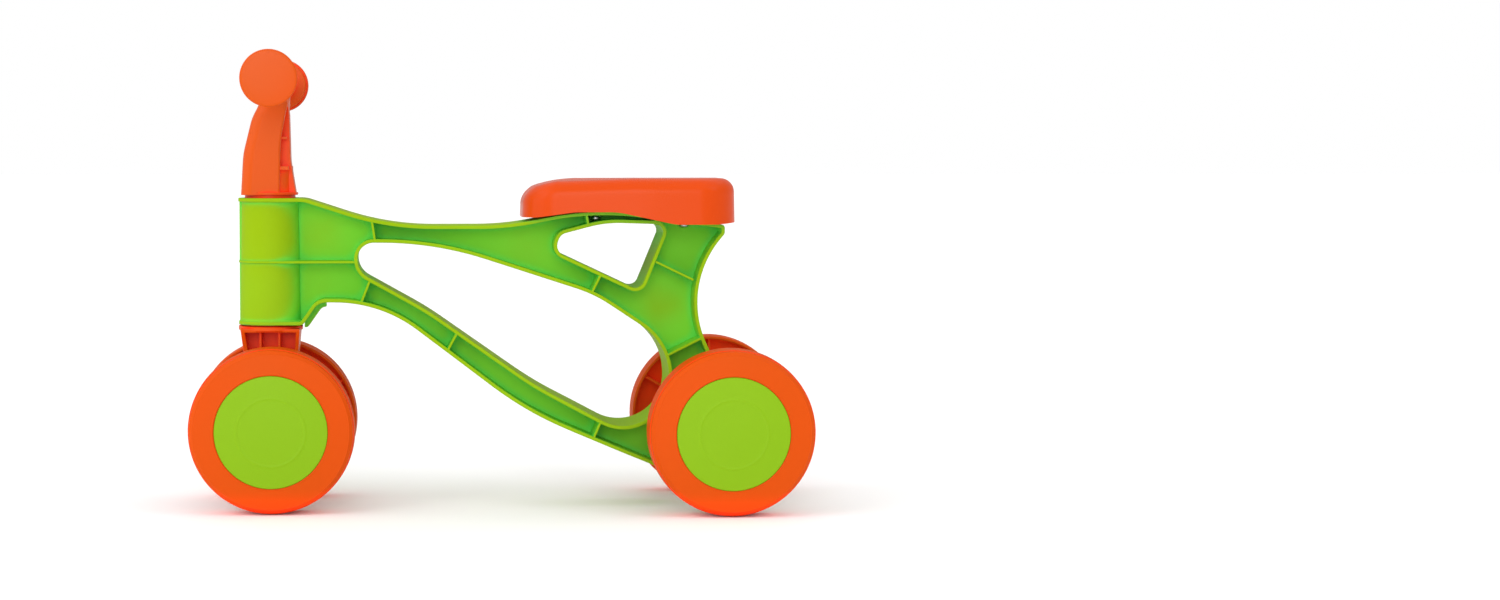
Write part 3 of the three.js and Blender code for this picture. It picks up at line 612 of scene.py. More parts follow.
def fork_box():
    """Front, rear and bottom plates with rounded edges around a centre web and two uprights."""
    shell = cut(side_plate(FORK_SIDE, 30, 0), side_plate(FORK_SIDE, 31, 0, -WALL))
    plates = common(shell, slab(fork_face_corners(), front(-60), front(60), front_plane, 0))
    web = block(-WALL / 2, WALL / 2, front(-40), front(40), 0, FORK_TOP)
    half = FORK_HALF_WIDTH - 0.8
    uprights = [
        block(-half, half, front(at) - RIB / 2, front(at) + RIB / 2, 0, FORK_TOP, SECTION_EDGE)
        for at in (-11.3, 5.1)
    ]
    return join(plates, common(join(web, *uprights), side_plate(FORK_SIDE, 30, 0, -1)))


def fork_front_rib():
    top, tip = FORK_TOP - 3, up(24)
    corners = [(front(-30), top, 0), (front(-22.2), tip, 0), (front(-20.5), tip, 0), (front(-25), top, 0)]
    return side_plate(corners, 1.1, 0.5)


def fork_stub(side):
    """One stub of the front axle's barrel, with an upright and a level gusset."""
    stub = turned(rod(6.2, 14, STUB_END, 0.5), "X", (0, FRONT_AXLE.y, AXLE_Z), SMALL)
    root, knee, tip = FORK_HALF_WIDTH + 0.5, 25.5, 33
    outer = [(knee, -5.6, 3), (tip, -5.6, 0), (tip, 5.6, 0), (knee, 5.6, 3)]
    gusset = [(16, -15, 0), (root, -14, 0), *outer, (root, 12.5, 0), (16, 13.5, 0)]
    upright = [(x, up(rise), radius) for x, rise, radius in gusset]
    level = [(x, front(rise), radius) for x, rise, radius in gusset]
    half = join(
        stub,
        slab(upright, front(-1.5), front(1.5), front_plane, 0.5),
        slab(level, up(-1.5), up(1.5), plan_plane, 0.5),
    )
    if side < 0:
        half.data.transform(Matrix.Scale(-1, 4, Vector((1, 0, 0))))
        half.data.flip_normals()
    return half


def fork_stem():
    """The turned stem above the fork: a flange under the head, a bush collar and a hollow tube."""
    low, inner = FORK_TOP - 4, STEM_RADIUS - WALL
    profile = [(low, inner), (low, FORK_FLANGE - 0.5), (low + 0.5, FORK_FLANGE)]
    profile += [(FORK_TOP - EDGE, FORK_FLANGE), (FORK_TOP, FORK_FLANGE - EDGE), (FORK_TOP, BUSH_FIT)]
    profile += [(HEAD_BOTTOM, BUSH_FIT), (HEAD_BOTTOM, STEM_RADIUS), (STEM_TOP - 0.8, STEM_RADIUS)]
    profile += [(STEM_TOP, STEM_RADIUS - 0.8), (STEM_TOP, 2.3), (STEM_TOP - 12, 2.3), (STEM_TOP - 12, inner)]
    return about_steering(profile + [(low, inner)])


def make_fork():
    moulding = join(fork_box(), fork_front_rib(), fork_stub(1), fork_stub(-1), fork_stem())
    return cut(moulding, axle_bore(FRONT_AXLE))


# ---- Handlebar ----

GRIP_Y = front(2.5)
GRIP_Z = up(301)
GRIP_RADIUS = 11.5
BAR_HALF = BAR_HIGH.x
LOBE_X = 10.9
LOBE_RADIUS = 11.2
SCREW_PLATE_TOP = STEM_TOP + GAP + WALL
SPINE_TOP = up(283)

# The stem's front and back lines as (y, z, radius), from its foot up to the grips.
BAR_FRONT = [
    (front(-28.2), BAR_BOTTOM - 6, 0), (front(-25.6), up(238), 70), (front(-17.8), up(269), 35),
    (GRIP_Y - GRIP_RADIUS, up(286), 20), (GRIP_Y - GRIP_RADIUS, GRIP_Z + 20, 0),
]
BAR_BACK = [
    (front(6.2), BAR_BOTTOM - 6, 0), (front(7.4), up(250), 120),
    (GRIP_Y + GRIP_RADIUS, up(284), 20), (GRIP_Y + GRIP_RADIUS, GRIP_Z + 20, 0),
]


def open_line(corners):
    """An open line from corners (u, v, radius), with points every few millimetres."""
    points = [Vector(corner[:2]) for corner in corners]
    made = [points[0]]
    for i in range(1, len(points) - 1):
        before = (points[i] - points[i - 1]).normalized()
        after = (points[i + 1] - points[i]).normalized()
        made += rounded_corner(points[i], before, after, corners[i][2], corners[i][2])
    return resampled(made + [points[-1]], 3, closed=False)


BAR_FRONT_LINE = open_line(BAR_FRONT)
BAR_BACK_LINE = open_line(BAR_BACK)


def at_height(line, z):
    """A line's own Y at a height."""
    for a, b in zip(line, line[1:]):
        if z <= b.y:
            return a.x + (b.x - a.x) * (z - a.y) / max(b.y - a.y, 1e-6)
    return line[-1].x


def lobe_bend():
    """The lobe's middle line in X and Z, from a grip's end in to the stem and down to its foot."""
    grip, turn, foot = (BAR_HALF - 12, GRIP_Z), (14.6, GRIP_Z), (LOBE_X, BAR_BOTTOM - 5)
    points = [Vector(place) for place in (grip, turn, foot)]
    before, after = [(b - a).normalized() for a, b in zip(points, points[1:])]
    bend = rounded_corner(points[1], before, after, 28, 200)
    return resampled([points[0], *bend, points[2]], 3, closed=False)


def lobe(side):
    """One rounded lobe: round at the grip, it turns down into a deep D-shape at the stem."""
    path = lobe_bend()
    back_edge = 2.0
    rings = []
    for i, point in enumerate(path):
        along = (path[min(i + 1, len(path) - 1)] - path[max(i - 1, 0)]).normalized()
        across = Vector((-along.y, along.x))
        down = smooth_between([(up(276), 1.0), (up(297), 0.0)], point.y)
        half = GRIP_RADIUS + (LOBE_RADIUS - GRIP_RADIUS) * down
        radius = half + (back_edge - half) * down
        middle = at_height(BAR_FRONT_LINE, point.y) + half
        back = at_height(BAR_BACK_LINE, point.y) - radius
        ring = arc(0, middle, half, 0, -2, 23)
        ring += arc(radius - half, back, radius, 2, 1, 11) + arc(half - radius, back, radius, 1, 0, 11)
        rings.append([(side * (point.x + across.x * a), y, point.y + across.y * a) for a, y in ring])
    return loft("lobe", rings)


def bar_web():
    """The plate between the lobes, with the notch between the grips."""
    half = [(-9.5, BAR_BOTTOM - 5, 0), (-14, up(262), 30), (-30, GRIP_Z + 2, 0), (-25, GRIP_Z + 10.4, 16)]
    notch = (0, GRIP_Z - 4.3, 11)
    corners = half + [notch] + [(-x, z, radius) for x, z, radius in reversed(half)]
    return common(slab(corners, front(-60), front(60), front_plane, 0), bar_side(0, 1.5, GRIP_Z + 12))


def web_depth(z):
    """From the lobes' crests back to the web between them: deep at the foot, shallow at the notch."""
    return smooth_between([(up(254), 5.2), (up(290), 3.0)], z)


def bar_side(extra, back_inset, top):
    """The stem seen from the side, from the web's face to a line drawn in from its back line."""
    low, high = GRIP_Y - GRIP_RADIUS + web_depth(top) + extra, GRIP_Y + GRIP_RADIUS - back_inset
    corners = [(p.x + web_depth(p.y) + extra, p.y, 0) for p in BAR_FRONT_LINE if p.y < top]
    corners += [(low, top, 5), (high, top, 5)]
    corners += [(p.x - back_inset, p.y, 0) for p in reversed(BAR_BACK_LINE) if p.y < top]
    return side_plate(corners, 60, 0)


def bar_hollow():
    """The hollow between the lobes and behind their web, open to the rear."""
    corners = [(p.x + web_depth(p.y) + WALL, p.y, 0) for p in BAR_FRONT_LINE if p.y < up(268)]
    corners += [(front(-5), up(278), 4), (front(30), up(278), 0), (front(30), BAR_BOTTOM - 8, 0)]
    return side_plate(corners, LOBE_X + LOBE_RADIUS - WALL, 0)


SPINE = [
    (front(-24), BAR_BOTTOM - 1, 0), (front(-24), up(240), 0), (front(-9), up(282), 0),
    (front(13), up(286), 0), (front(14.5), up(272), 8), (front(15.5), up(232), 40),
    (front(20.5), BAR_BOTTOM - 1, 0),
]


def bar_spine():
    """The centre plate in the hollow, the strip along its rear edge, side walls and two floors."""
    strip_half, strip_depth = 11, 2.2
    strip = cut(side_plate(SPINE, strip_half, 0.6), side_plate(SPINE, 20, 0, -strip_depth))
    strip = common(strip, block(-30, 30, front(8), front(60), BAR_BOTTOM, SPINE_TOP))
    floors = []
    for top, thickness in ((SCREW_PLATE_TOP, WALL), (up(253), RIB)):
        floor = side_plate(SPINE, LOBE_X + LOBE_RADIUS - 1, 0, -strip_depth)
        floors.append(common(floor, block(-40, 40, front(-24), front(40), top - thickness, top)))
    walls = [slab(SPINE, x, x + RIB, side_plane, 0.5, -GAP) for x in (-strip_half, strip_half - RIB)]
    return common(join(side_plate(SPINE, 1.4, 0.5), strip, *walls, *floors), bar_side(1, -30, SPINE_TOP))


def bar_front_rib():
    """The thin rib down the middle of the web. It fades out below the notch."""
    crest = [(p.x + 1.8, p.y, 0) for p in BAR_FRONT_LINE if p.y < up(246)]
    root = [(p.x + web_depth(p.y) + 0.6, p.y, 0) for p in BAR_FRONT_LINE if p.y < up(262)]
    return side_plate(crest + root[::-1], RIB / 2, 0)


def grip_end(side):
    """A grip's end: the bar runs out into a wide disc with a raised rim."""
    rim, disc, disc_radius, rim_radius = BAR_HALF, BAR_HALF - 3.6, 21.5, 24.0
    profile = [(40, 0), (40, GRIP_RADIUS), (disc - 8.2, GRIP_RADIUS), (disc - 7.4, GRIP_RADIUS + 0.8)]
    profile += [(disc - 7, disc_radius - 0.6), (disc - 6.4, disc_radius), (disc - 0.4, disc_radius)]
    profile += [(disc, disc_radius + 0.4), (disc, rim_radius - 0.7), (disc + 0.7, rim_radius)]
    profile += [(rim - 1.9, rim_radius), (rim - 0.9, rim_radius - 0.8)]
    profile += [(rim - 0.35, disc_radius), (rim - 0.1, 12), (rim, 0)]
    return turned([(side * along, radius) for along, radius in profile], "X", (0, GRIP_Y, GRIP_Z))


def make_handlebar():
    hollow_form = cut(join(lobe(1), lobe(-1), bar_web()), bar_hollow())
    solid = join(hollow_form, bar_spine(), bar_front_rib(), grip_end(1), grip_end(-1))
    above = block(-140, 140, front(-60), front(60), BAR_BOTTOM, up(340))
    flange_radius, flange_height, pocket_radius = 24.7, 2.2, 9
    flange_disc = about_steering(rod(flange_radius, BAR_BOTTOM, BAR_BOTTOM + flange_height, 0.6))
    neck = about_steering(rod(BUSH_FIT, HEAD_TOP, BAR_BOTTOM + 1))
    socket = about_steering(rod(STEM_RADIUS + GAP + WALL, BAR_BOTTOM, SCREW_PLATE_TOP))
    socket = common(socket, bar_side(0, -30, SPINE_TOP))
    solid = join(common(solid, above), flange_disc, neck, socket)
    stem_room = block(-60, 60, front(-60), front(23), HEAD_TOP, up(330))
    grip_room = block(-130, 130, front(-24), front(40), up(270), up(330))
    return cut(
        common(solid, join(stem_room, grip_room)),
        about_steering(rod(STEM_RADIUS + GAP, HEAD_TOP - 1, STEM_TOP + GAP)),
        about_steering(rod(PILOT_HOLE, STEM_TOP, SCREW_PLATE_TOP + 1), SMALL),
        about_steering(rod(pocket_radius, SCREW_PLATE_TOP, SCREW_PLATE_TOP + 14), SMALL),
    )


# ---- Wheels, in their own frame: the axis is X, the outer side faces +X ----

WHEEL_WIDTH = 32.5
FACE_RISE = 1.9
CAP_RADIUS = 48.6
CAP_SEAT = WHEEL_WIDTH + FACE_RISE - 2.6
HUB_END = WHEEL_WIDTH - 5.5
WHEEL_RIBS = 6
RIB_ROOT = 10.0
WHEEL_DISC = CAP_SEAT - WALL  # the inner face of the wheel's outer wall
TREAD_INSIDE = WHEEL_RADIUS - 3.4
SHOULDER_TOP = WHEEL_RADIUS - 1.5


def bell(at, centre, width):
    """A small rounded ridge across a profile."""
    return math.exp(-(((at - centre) / width) ** 2))


def tread_profile():
    """The crowned tread with fine turned ridges, from the inner edge to the shoulder."""
    points = [(0, WHEEL_RADIUS - 1.3), (0.3, WHEEL_RADIUS - 0.9)]
    middle, crown, ridge_height, step = 14, 0.9, 0.14, 0.25
    for k in range(1, 107):
        x = step * k
        fall = crown * ((x - middle) / middle) ** 2 * (1 if x < middle else 0.9)
        lift = sum(ridge_height * bell(x, ridge, 0.35) for ridge in (4.5, 8, 10.5, 14, 16.5, 20, 23.5))
        points.append((x, WHEEL_RADIUS - fall - ridge_height + lift))
    return points


def shoulder_profile():
    """The rounded shoulder with two beads, from the tread to the outer face."""
    bend, steps = 5.6, 36
    centre_x, centre_r = WHEEL_WIDTH - bend, SHOULDER_TOP - bend
    points = [(26.6, SHOULDER_TOP)]
    for k in range(1, steps + 1):
        angle = math.pi / 2 * k / steps
        radius = bend + 0.35 * bell(k, 13, 1.8) + 0.3 * bell(k, 27, 1.8)
        points.append((centre_x + radius * math.sin(angle), centre_r + radius * math.cos(angle)))
    return points


def wheel_body():
    """The hub, the disc, the tyre's hollow, its tread and the outer face, as one profile."""
    bore, sleeve, pad, pocket = AXLE_RADIUS + GAP, 11, 15.5, 12.0
    outer, wall = WHEEL_WIDTH + FACE_RISE, WHEEL_WIDTH - WALL
    profile = [(0.7, bore), (0.7, sleeve - 0.6), (1.3, sleeve), (WHEEL_DISC - 5, sleeve)]
    profile += [(WHEEL_DISC - 5, pad), (WHEEL_DISC, pad), (wall, TREAD_INSIDE - 4)]
    profile += [(wall - 1.2, TREAD_INSIDE - 1.2), (wall - 4, TREAD_INSIDE), (0.8, TREAD_INSIDE)]
    profile += [(0, TREAD_INSIDE + 0.8)] + tread_profile() + shoulder_profile()
    profile += [(outer - 0.5, CAP_RADIUS + 2.5), (outer, CAP_RADIUS + 1.2), (outer - 0.5, CAP_RADIUS + GAP)]
    profile += [(CAP_SEAT, CAP_RADIUS + GAP), (CAP_SEAT, pocket), (HUB_END, pocket), (HUB_END, bore)]
    return turned(profile + [(0.7, bore)], "X", (0, 0, 0), 160)


def cap_form():
    """The domed hub cap with one raised ring."""
    rim, dome, steps = WHEEL_WIDTH + FACE_RISE, 2.3, 64
    profile = []
    for k in range(steps + 1):
        share = k / steps
        radius = (CAP_RADIUS - 0.5) * share
        profile.append((rim + dome * (1 - share * share) + 0.3 * bell(radius, 29.5, 0.9), radius))
    profile += [(rim - 0.45, CAP_RADIUS), (CAP_SEAT + GAP, CAP_RADIUS), (CAP_SEAT + GAP, CAP_RADIUS * 0.93)]
    for share in (0.93, 0.7, 0.4, 0):
        profile.append((rim + dome * (1 - share * share) - 2, CAP_RADIUS * share))
    return turned(profile, "X", (0, 0, 0), 128)


# ---- Node trees ----

FLOAT, COLOUR, SHAPE = "NodeSocketFloat", "NodeSocketColor", "NodeSocketGeometry"


def feed(tree, socket, value):
    """Gives a socket a plain value, or links it to another node's output."""
    if isinstance(value, bpy.types.NodeSocket):
        tree.links.new(value, socket)
    else:
        socket.default_value = value


def made(tree, kind, inputs, **settings):
    """The outputs of a new node, once its settings are made and its inputs are fed."""
    node = tree.nodes.new(kind)
    for label, value in settings.items():
        setattr(node, label, value)
    for label, value in inputs.items():
        feed(tree, node.inputs[label], value)
    return node.outputs


def node_group(name, kind, inputs, outputs):
    """A node group, its inputs' identifiers by name, and its two ends."""
    group = bpy.data.node_groups.new(name, kind)
    names = {}
    for label, socket_kind, value in inputs:
        socket = group.interface.new_socket(label, in_out="INPUT", socket_type=socket_kind)
        names[label] = socket.identifier
        if value is not None:
            socket.default_value = value
    for label, socket_kind in outputs:
        group.interface.new_socket(label, in_out="OUTPUT", socket_type=socket_kind)
    given = group.nodes.new("NodeGroupInput").outputs
    return group, names, given, group.nodes.new("NodeGroupOutput").inputs


def math_node(tree, operation, *values, clamp=False):
    fed = dict(enumerate(values))
    return made(tree, "ShaderNodeMath", fed, operation=operation, use_clamp=clamp)[0]


def radial_ribs_tree(material):
    """Flat ribs around the X axis, with their count and sizes as inputs."""
    group, names, given, out = node_group(
        "radial_ribs",
        "GeometryNodeTree",
        [
            ("Geometry", SHAPE, None),
            ("Count", "NodeSocketInt", WHEEL_RIBS),
            ("Thickness", FLOAT, RIB),
            ("Depth", FLOAT, 20.0),
            ("Inner Radius", FLOAT, RIB_ROOT),
            ("Length", FLOAT, 58.0),
            ("Start", FLOAT, 6.5),
        ],
        [("Geometry", SHAPE)],
    )
    sizes = {"X": given["Depth"], "Y": given["Thickness"], "Z": given["Length"]}
    rib = made(group, "GeometryNodeMeshCube", {"Size": made(group, "ShaderNodeCombineXYZ", sizes)[0]})
    middle = {
        "X": math_node(group, "MULTIPLY_ADD", given["Depth"], 0.5, given["Start"]),
        "Z": math_node(group, "MULTIPLY_ADD", given["Length"], 0.5, given["Inner Radius"]),
    }
    place = made(group, "ShaderNodeCombineXYZ", middle)
    moved = made(group, "GeometryNodeTransform", {"Geometry": rib[0], "Translation": place[0]})
    points = made(group, "GeometryNodePoints", {"Count": given["Count"]})
    share = math_node(group, "DIVIDE", made(group, "GeometryNodeInputIndex", {})[0], given["Count"])
    turn = made(group, "ShaderNodeCombineXYZ", {"X": math_node(group, "MULTIPLY", share, 2 * math.pi)})
    spread = {"Points": points[0], "Instance": moved[0], "Rotation": turn[0]}
    ribs = made(group, "GeometryNodeInstanceOnPoints", spread)
    real = made(group, "GeometryNodeRealizeInstances", {0: ribs[0]})
    feed(group, out[0], made(group, "GeometryNodeSetMaterial", {0: real[0], "Material": material})[0])
    return group, names


def make_wheel(material):
    tree, names = radial_ribs_tree(material)
    ribs = added("ribs", bpy.data.meshes.new("ribs"))
    modifier = ribs.modifiers.new("nodes", "NODES")
    modifier.node_group = tree
    modifier[names["Depth"]] = WHEEL_DISC - 6.0
    modifier[names["Length"]] = TREAD_INSIDE + 1 - RIB_ROOT
    return join(wheel_body(), baked(ribs))


# ---- Screw ----


def screw_form(shank_radius, head_radius, length):
    """A pan-head screw that points up from z = 0 under its head, with a cross recess."""
    root, pitch = shank_radius - 0.3, 1.6
    profile = [(-2.6, 0), (-2.6, head_radius - 1.9), (-2.2, head_radius - 0.8), (-1.4, head_radius)]
    profile += [(-0.2, head_radius), (0, head_radius - 0.2), (0, shank_radius)]
    for k in range(int((length - 3) / pitch)):
        start = 1 + k * pitch
        profile += [(start, root), (start + 0.5, shank_radius), (start + 0.9, root)]
    screw = turned(profile + [(length - 2, root), (length, 0)], "Z", (0, 0, 0), SMALL)
    slots = [block(-x, x, -y, y, -3, -1.2) for x, y in ((2.4, 0.45), (0.45, 2.4))]
    return cut(screw, *slots)


# ---- Finishes ----

# Each plastic: its open colour, its recess and root colours (painted shade in recesses and at the roots of
# ribs), roughness, grain, specks, scuffs, the reach of its painted recess shade in metres, and gloss.
PLASTICS = {
    "frame_green": ((138, 170, 10), (124, 204, 54), (92, 214, 86), 0.5, 1.0, 1.0, 0.25, 0.036, 0.04),
    "moulded_orange": ((202, 77, 2), (244, 66, 4), (240, 50, 6), 0.36, 0.7, 0.4, 0.25, 0.03, 0.16),
    "seat_orange": ((203, 66, 2), (214, 58, 4), (200, 44, 6), 0.28, 0.6, 0.4, 0.4, 0.03, 0.13),
    "wheel_orange": ((200, 74, 2), (244, 68, 4), (238, 52, 6), 0.45, 0.8, 0.4, 0.4, 0.03, 0.09),
    "cap_green": ((126, 170, 4), (118, 164, 6), (96, 150, 12), 0.44, 1.3, 1.6, 0.3, 0.012, 0.16),
    "natural_nylon": ((232, 230, 222), (214, 208, 196), (170, 160, 145), 0.45, 0.6, 0.3, 0.2, 0.01, 0.16),
}


def range_node(tree, value, low, high, to_low=0.0, to_high=1.0):
    ends = {"From Min": low, "From Max": high, "To Min": to_low, "To Max": to_high}
    return made(tree, "ShaderNodeMapRange", {"Value": value, **ends}, interpolation_type="SMOOTHSTEP")[0]


def mix_node(tree, share, a, b):
    return made(tree, "ShaderNodeMix", {0: share, 6: a, 7: b}, data_type="RGBA", blend_type="MIX")[2]


def noise_node(tree, where, scale, detail=2.0):
    return made(tree, "ShaderNodeTexNoise", {"Vector": where, "Scale": scale, "Detail": detail})[0]


def object_place(tree):
    return made(tree, "ShaderNodeTexCoord", {})["Object"]


def product(tree, *values):
    result = values[0]
    for value in values[1:]:
        result = math_node(tree, "MULTIPLY", result, value)
    return result


def bump(tree, shader, height, strength, depth):
    normal = made(tree, "ShaderNodeBump", {"Height": height, "Strength": strength, "Distance": depth})
    feed(tree, shader.inputs["Normal"], normal[0])


def painted_recess_shade_group():
    """Painted shade: the colour shifts from the open faces into recesses and on to the roots of the ribs,
    masked by ambient occlusion.
    """
    white = (1, 1, 1, 1)
    colours = [(label, COLOUR, white) for label in ("Open", "Recess Shade", "Root Shade")]
    group, _, given, out = node_group(
        "painted_recess_shade", "ShaderNodeTree", colours + [("Reach", FLOAT, 0.03)], [("Colour", COLOUR)]
    )
    # Ambient occlusion places the painted shade: a wide reach for recesses, a tight one for the roots of
    # ribs.
    wide = made(group, "ShaderNodeAmbientOcclusion", {"Distance": given["Reach"]}, samples=12)
    tight = made(group, "ShaderNodeAmbientOcclusion", {"Distance": 0.009}, samples=8)
    openness = range_node(group, wide["AO"], 0.5, 0.93)
    root_shade_share = product(group, range_node(group, tight["AO"], 0.86, 0.5), 0.75)
    body = mix_node(group, openness, given["Recess Shade"], given["Open"])
    feed(group, out["Colour"], mix_node(group, root_shade_share, body, given["Root Shade"]))
    return group


def moulded_skin_group():
    """Fine mould texture, soft mottling, rare specks and handling scuffs of a moulded plastic."""
    group, _, given, out = node_group(
        "moulded_skin",
        "ShaderNodeTree",
        [("Roughness", FLOAT, 0.4), ("Grain", FLOAT, 1.0), ("Specks", FLOAT, 1.0), ("Scuffs", FLOAT, 0.3)],
        [(label, FLOAT) for label in ("Roughness", "Height", "Mottle", "Speck", "Scuff")],
    )
    where = object_place(group)
    fine, flow = noise_node(group, where, 1400, 3), noise_node(group, where, 26, 3)
    broad = noise_node(group, where, 9)
    height = math_node(group, "ADD", product(group, fine, given["Grain"]), product(group, flow, 2.2))
    stretch = {"Vector": where, "Scale": (60, 900, 420), "Rotation": (0.5, 0.2, 0.7)}
    scratches = noise_node(group, made(group, "ShaderNodeMapping", stretch)[0], 1.0)
    scratches = range_node(group, scratches, 0.66, 0.74)
    patches = range_node(group, noise_node(group, where, 34), 0.55, 0.7)
    scuff = product(group, scratches, patches, given["Scuffs"])
    dots = made(group, "ShaderNodeTexVoronoi", {"Vector": where, "Scale": 38})
    few = made(group, "ShaderNodeSeparateColor", {0: dots["Color"]})[0]
    chosen = math_node(group, "GREATER_THAN", few, 0.8)
    speck = product(group, range_node(group, dots["Distance"], 0.032, 0.014), chosen, given["Specks"])
    rough = math_node(group, "ADD", given["Roughness"], range_node(group, broad, 0.3, 0.7, -0.04, 0.05))
    rough = math_node(group, "ADD", rough, product(group, fine, 0.05))
    rough = math_node(group, "ADD", rough, product(group, scuff, 0.25), clamp=True)
    mottle = range_node(group, broad, 0.3, 0.7)
    results = {"Roughness": rough, "Height": height, "Mottle": mottle, "Speck": speck, "Scuff": scuff}
    for label, result in results.items():
        feed(group, out[label], result)
    return group


def srgb(red, green, blue):
    def linear(level):
        level /= 255
        return level / 12.92 if level <= 0.04045 else ((level + 0.055) / 1.055) ** 2.4

    return (linear(red), linear(green), linear(blue), 1.0)


def plain_material(name):
    material = bpy.data.materials.new(name)
    material.use_nodes = True
    tree = material.node_tree
    shader = next(n for n in tree.nodes if n.type == "BSDF_PRINCIPLED")
    return material, tree, shader


def moulded_plastic(name, painted_shade, skin):
    """A moulded plastic whose colour cools in its recesses, as painted shade."""
    *colours, roughness, grain, specks, scuffs, reach, gloss = PLASTICS[name]
    # recess and root are painted shade colours for recesses and rib roots; the mottle also draws towards the
    # recess colour.
    open_face, recess, root = [srgb(*levels) for levels in colours]
    material, tree, shader = plain_material(name)
    painted_shade_inputs = {"Open": open_face, "Recess Shade": recess, "Root Shade": root, "Reach": reach}
    skins = {"Roughness": roughness, "Grain": grain, "Specks": specks, "Scuffs": scuffs}
    # The open colour, with painted shade in recesses and at the roots of ribs.
    colour = made(tree, "ShaderNodeGroup", painted_shade_inputs, node_tree=painted_shade)["Colour"]
    surface = made(tree, "ShaderNodeGroup", skins, node_tree=skin)
    dark = tuple(0.25 * c for c in root[:3]) + (1.0,)
    light = tuple(min(1.0, 1.25 * c + 0.03) for c in open_face[:3]) + (1.0,)
    for mask, strength, over in (("Mottle", 0.12, recess), ("Speck", 0.7, dark), ("Scuff", 0.5, light)):
        colour = mix_node(tree, product(tree, surface[mask], strength), colour, over)
    height = surface["Height"]
    if name == "wheel_orange":
        height = math_node(tree, "ADD", height, turning_marks(tree))
    feed(tree, shader.inputs["Base Color"], colour)
    feed(tree, shader.inputs["Roughness"], surface["Roughness"])
    bump(tree, shader, height, 0.22, 0.0002)
    shader.inputs["IOR"].default_value = 1.5
    shader.inputs["Specular IOR Level"].default_value = gloss
    return material


def turning_marks(tree):
    """Fine lines around the axle, left by the turned mould."""
    stretched = made(tree, "ShaderNodeMapping", {"Vector": object_place(tree), "Scale": (1100, 9, 9)})
    return product(tree, noise_node(tree, stretched[0], 1.0, 3), 3.0)


def steel_material():
    material, tree, shader = plain_material("zinc_plated_steel")
    where = object_place(tree)
    cloud = noise_node(tree, where, 420, 3)
    feed(tree, shader.inputs["Base Color"], mix_node(tree, cloud, srgb(150, 152, 156), srgb(205, 206, 208)))
    feed(tree, shader.inputs["Roughness"], range_node(tree, cloud, 0.3, 0.7, 0.28, 0.42))
    shader.inputs["Metallic"].default_value = 1.0
    bump(tree, shader, noise_node(tree, where, 2600), 0.15, 0.0001)
    return material


def make_finishes():
    # The painted recess shade group and the moulded skin group.
    painted_shade, skin = painted_recess_shade_group(), moulded_skin_group()
    finishes = {name: moulded_plastic(name, painted_shade, skin) for name in PLASTICS}
    return {**finishes, "steel": steel_material()}


# ---- Finished pieces ----

SHARP_ANGLE = math.radians(28)


def finished(part, name, body, material, node, turn=None):
    """Scales a part to metres, gives it its finish and sets it on its body."""
    mesh = part.data
    if turn is not None:
        mesh.transform(turn)
    mesh.transform(Matrix.Scale(MM, 4))
    mesh.materials.clear()
    mesh.materials.append(material)
    mesh.polygons.foreach_set("material_index", [0] * len(mesh.polygons))
    mesh.shade_smooth()
    mesh.set_sharp_from_angle(angle=SHARP_ANGLE)
    part.modifiers.new("weighted", "WEIGHTED_NORMAL").keep_sharp = True
    baked(part)
    part.name = name
    part.data.name = name
    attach(part, body)
    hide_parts(node)


def carried_over(node, material):
    """A CAD node that is kept as it is, with a finish of its own."""
    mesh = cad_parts[node].data
    mesh.materials.clear()
    mesh.materials.append(material)
    mesh.polygons.foreach_set("material_index", [0] * len(mesh.polygons))


# ---- Camera, light and floor ----


def aimed(name, data, place, aim):
    """A lamp or camera at a place, turned to look at an aim."""
    holder = added(name, data)
    holder.location = place
    holder.rotation_mode = "QUATERNION"
    holder.rotation_quaternion = (Vector(aim) - Vector(place)).to_track_quat("-Z", "Y")
    return holder


def make_camera():
    camera = bpy.data.cameras.new("camera")
    camera.lens = 56.6
    camera.sensor_width = 36
    camera.shift_x = 0.1659
    bpy.context.scene.camera = aimed("camera", camera, (2.082, -0.083, 0.312), (0, 0.003, 0.181))


def soft_box(name, place, width, height, power):
    light = bpy.data.lights.new(name, "AREA")
    light.shape = "RECTANGLE"
    light.size, light.size_y = width, height
    light.energy = power
    aimed(name, light, place, (0, 0, 0.2))


def sunlight(name, direction, energy, spread, gloss):
    sun = bpy.data.lights.new(name, "SUN")
    sun.energy = energy
    sun.specular_factor = gloss
    sun.angle = math.radians(spread)
    aimed(name, sun, direction, (0, 0, 0))


def make_lights():
    """A white room: plain white where the camera looks, a little softer as light."""
    white, room_light = 1.0, 0.58
    world = bpy.data.worlds.new("studio")
    world.use_nodes = True
    tree = world.node_tree
    tree.nodes.clear()
    seen, lighting = [
        made(tree, "ShaderNodeBackground", {"Color": (1, 1, 1, 1), "Strength": strength})[0]
        for strength in (white, room_light)
    ]
    camera_ray = made(tree, "ShaderNodeLightPath", {})["Is Camera Ray"]
    room = made(tree, "ShaderNodeMixShader", {0: camera_ray, 1: lighting, 2: seen})
    made(tree, "ShaderNodeOutputWorld", {"Surface": room[0]})
    bpy.context.scene.world = world
    sunlight("overhead", (0.1, 0, 1), 1.25, 110, 0.5)
    sunlight("camera_side", (1, -0.12, 0.22), 1.0, 30, 0.0)
    sunlight("front_side", (0.35, -1, 0.45), 1.0, 60, 0.0)
    soft_box("front_strip", (1.2, -1.4, 1.0), 0.4, 0.9, 2.5)
    soft_box("rear_strip", (0.9, 1.4, 1.1), 0.4, 0.8, 2.5)
    bpy.context.scene.view_settings.view_transform = "Standard"


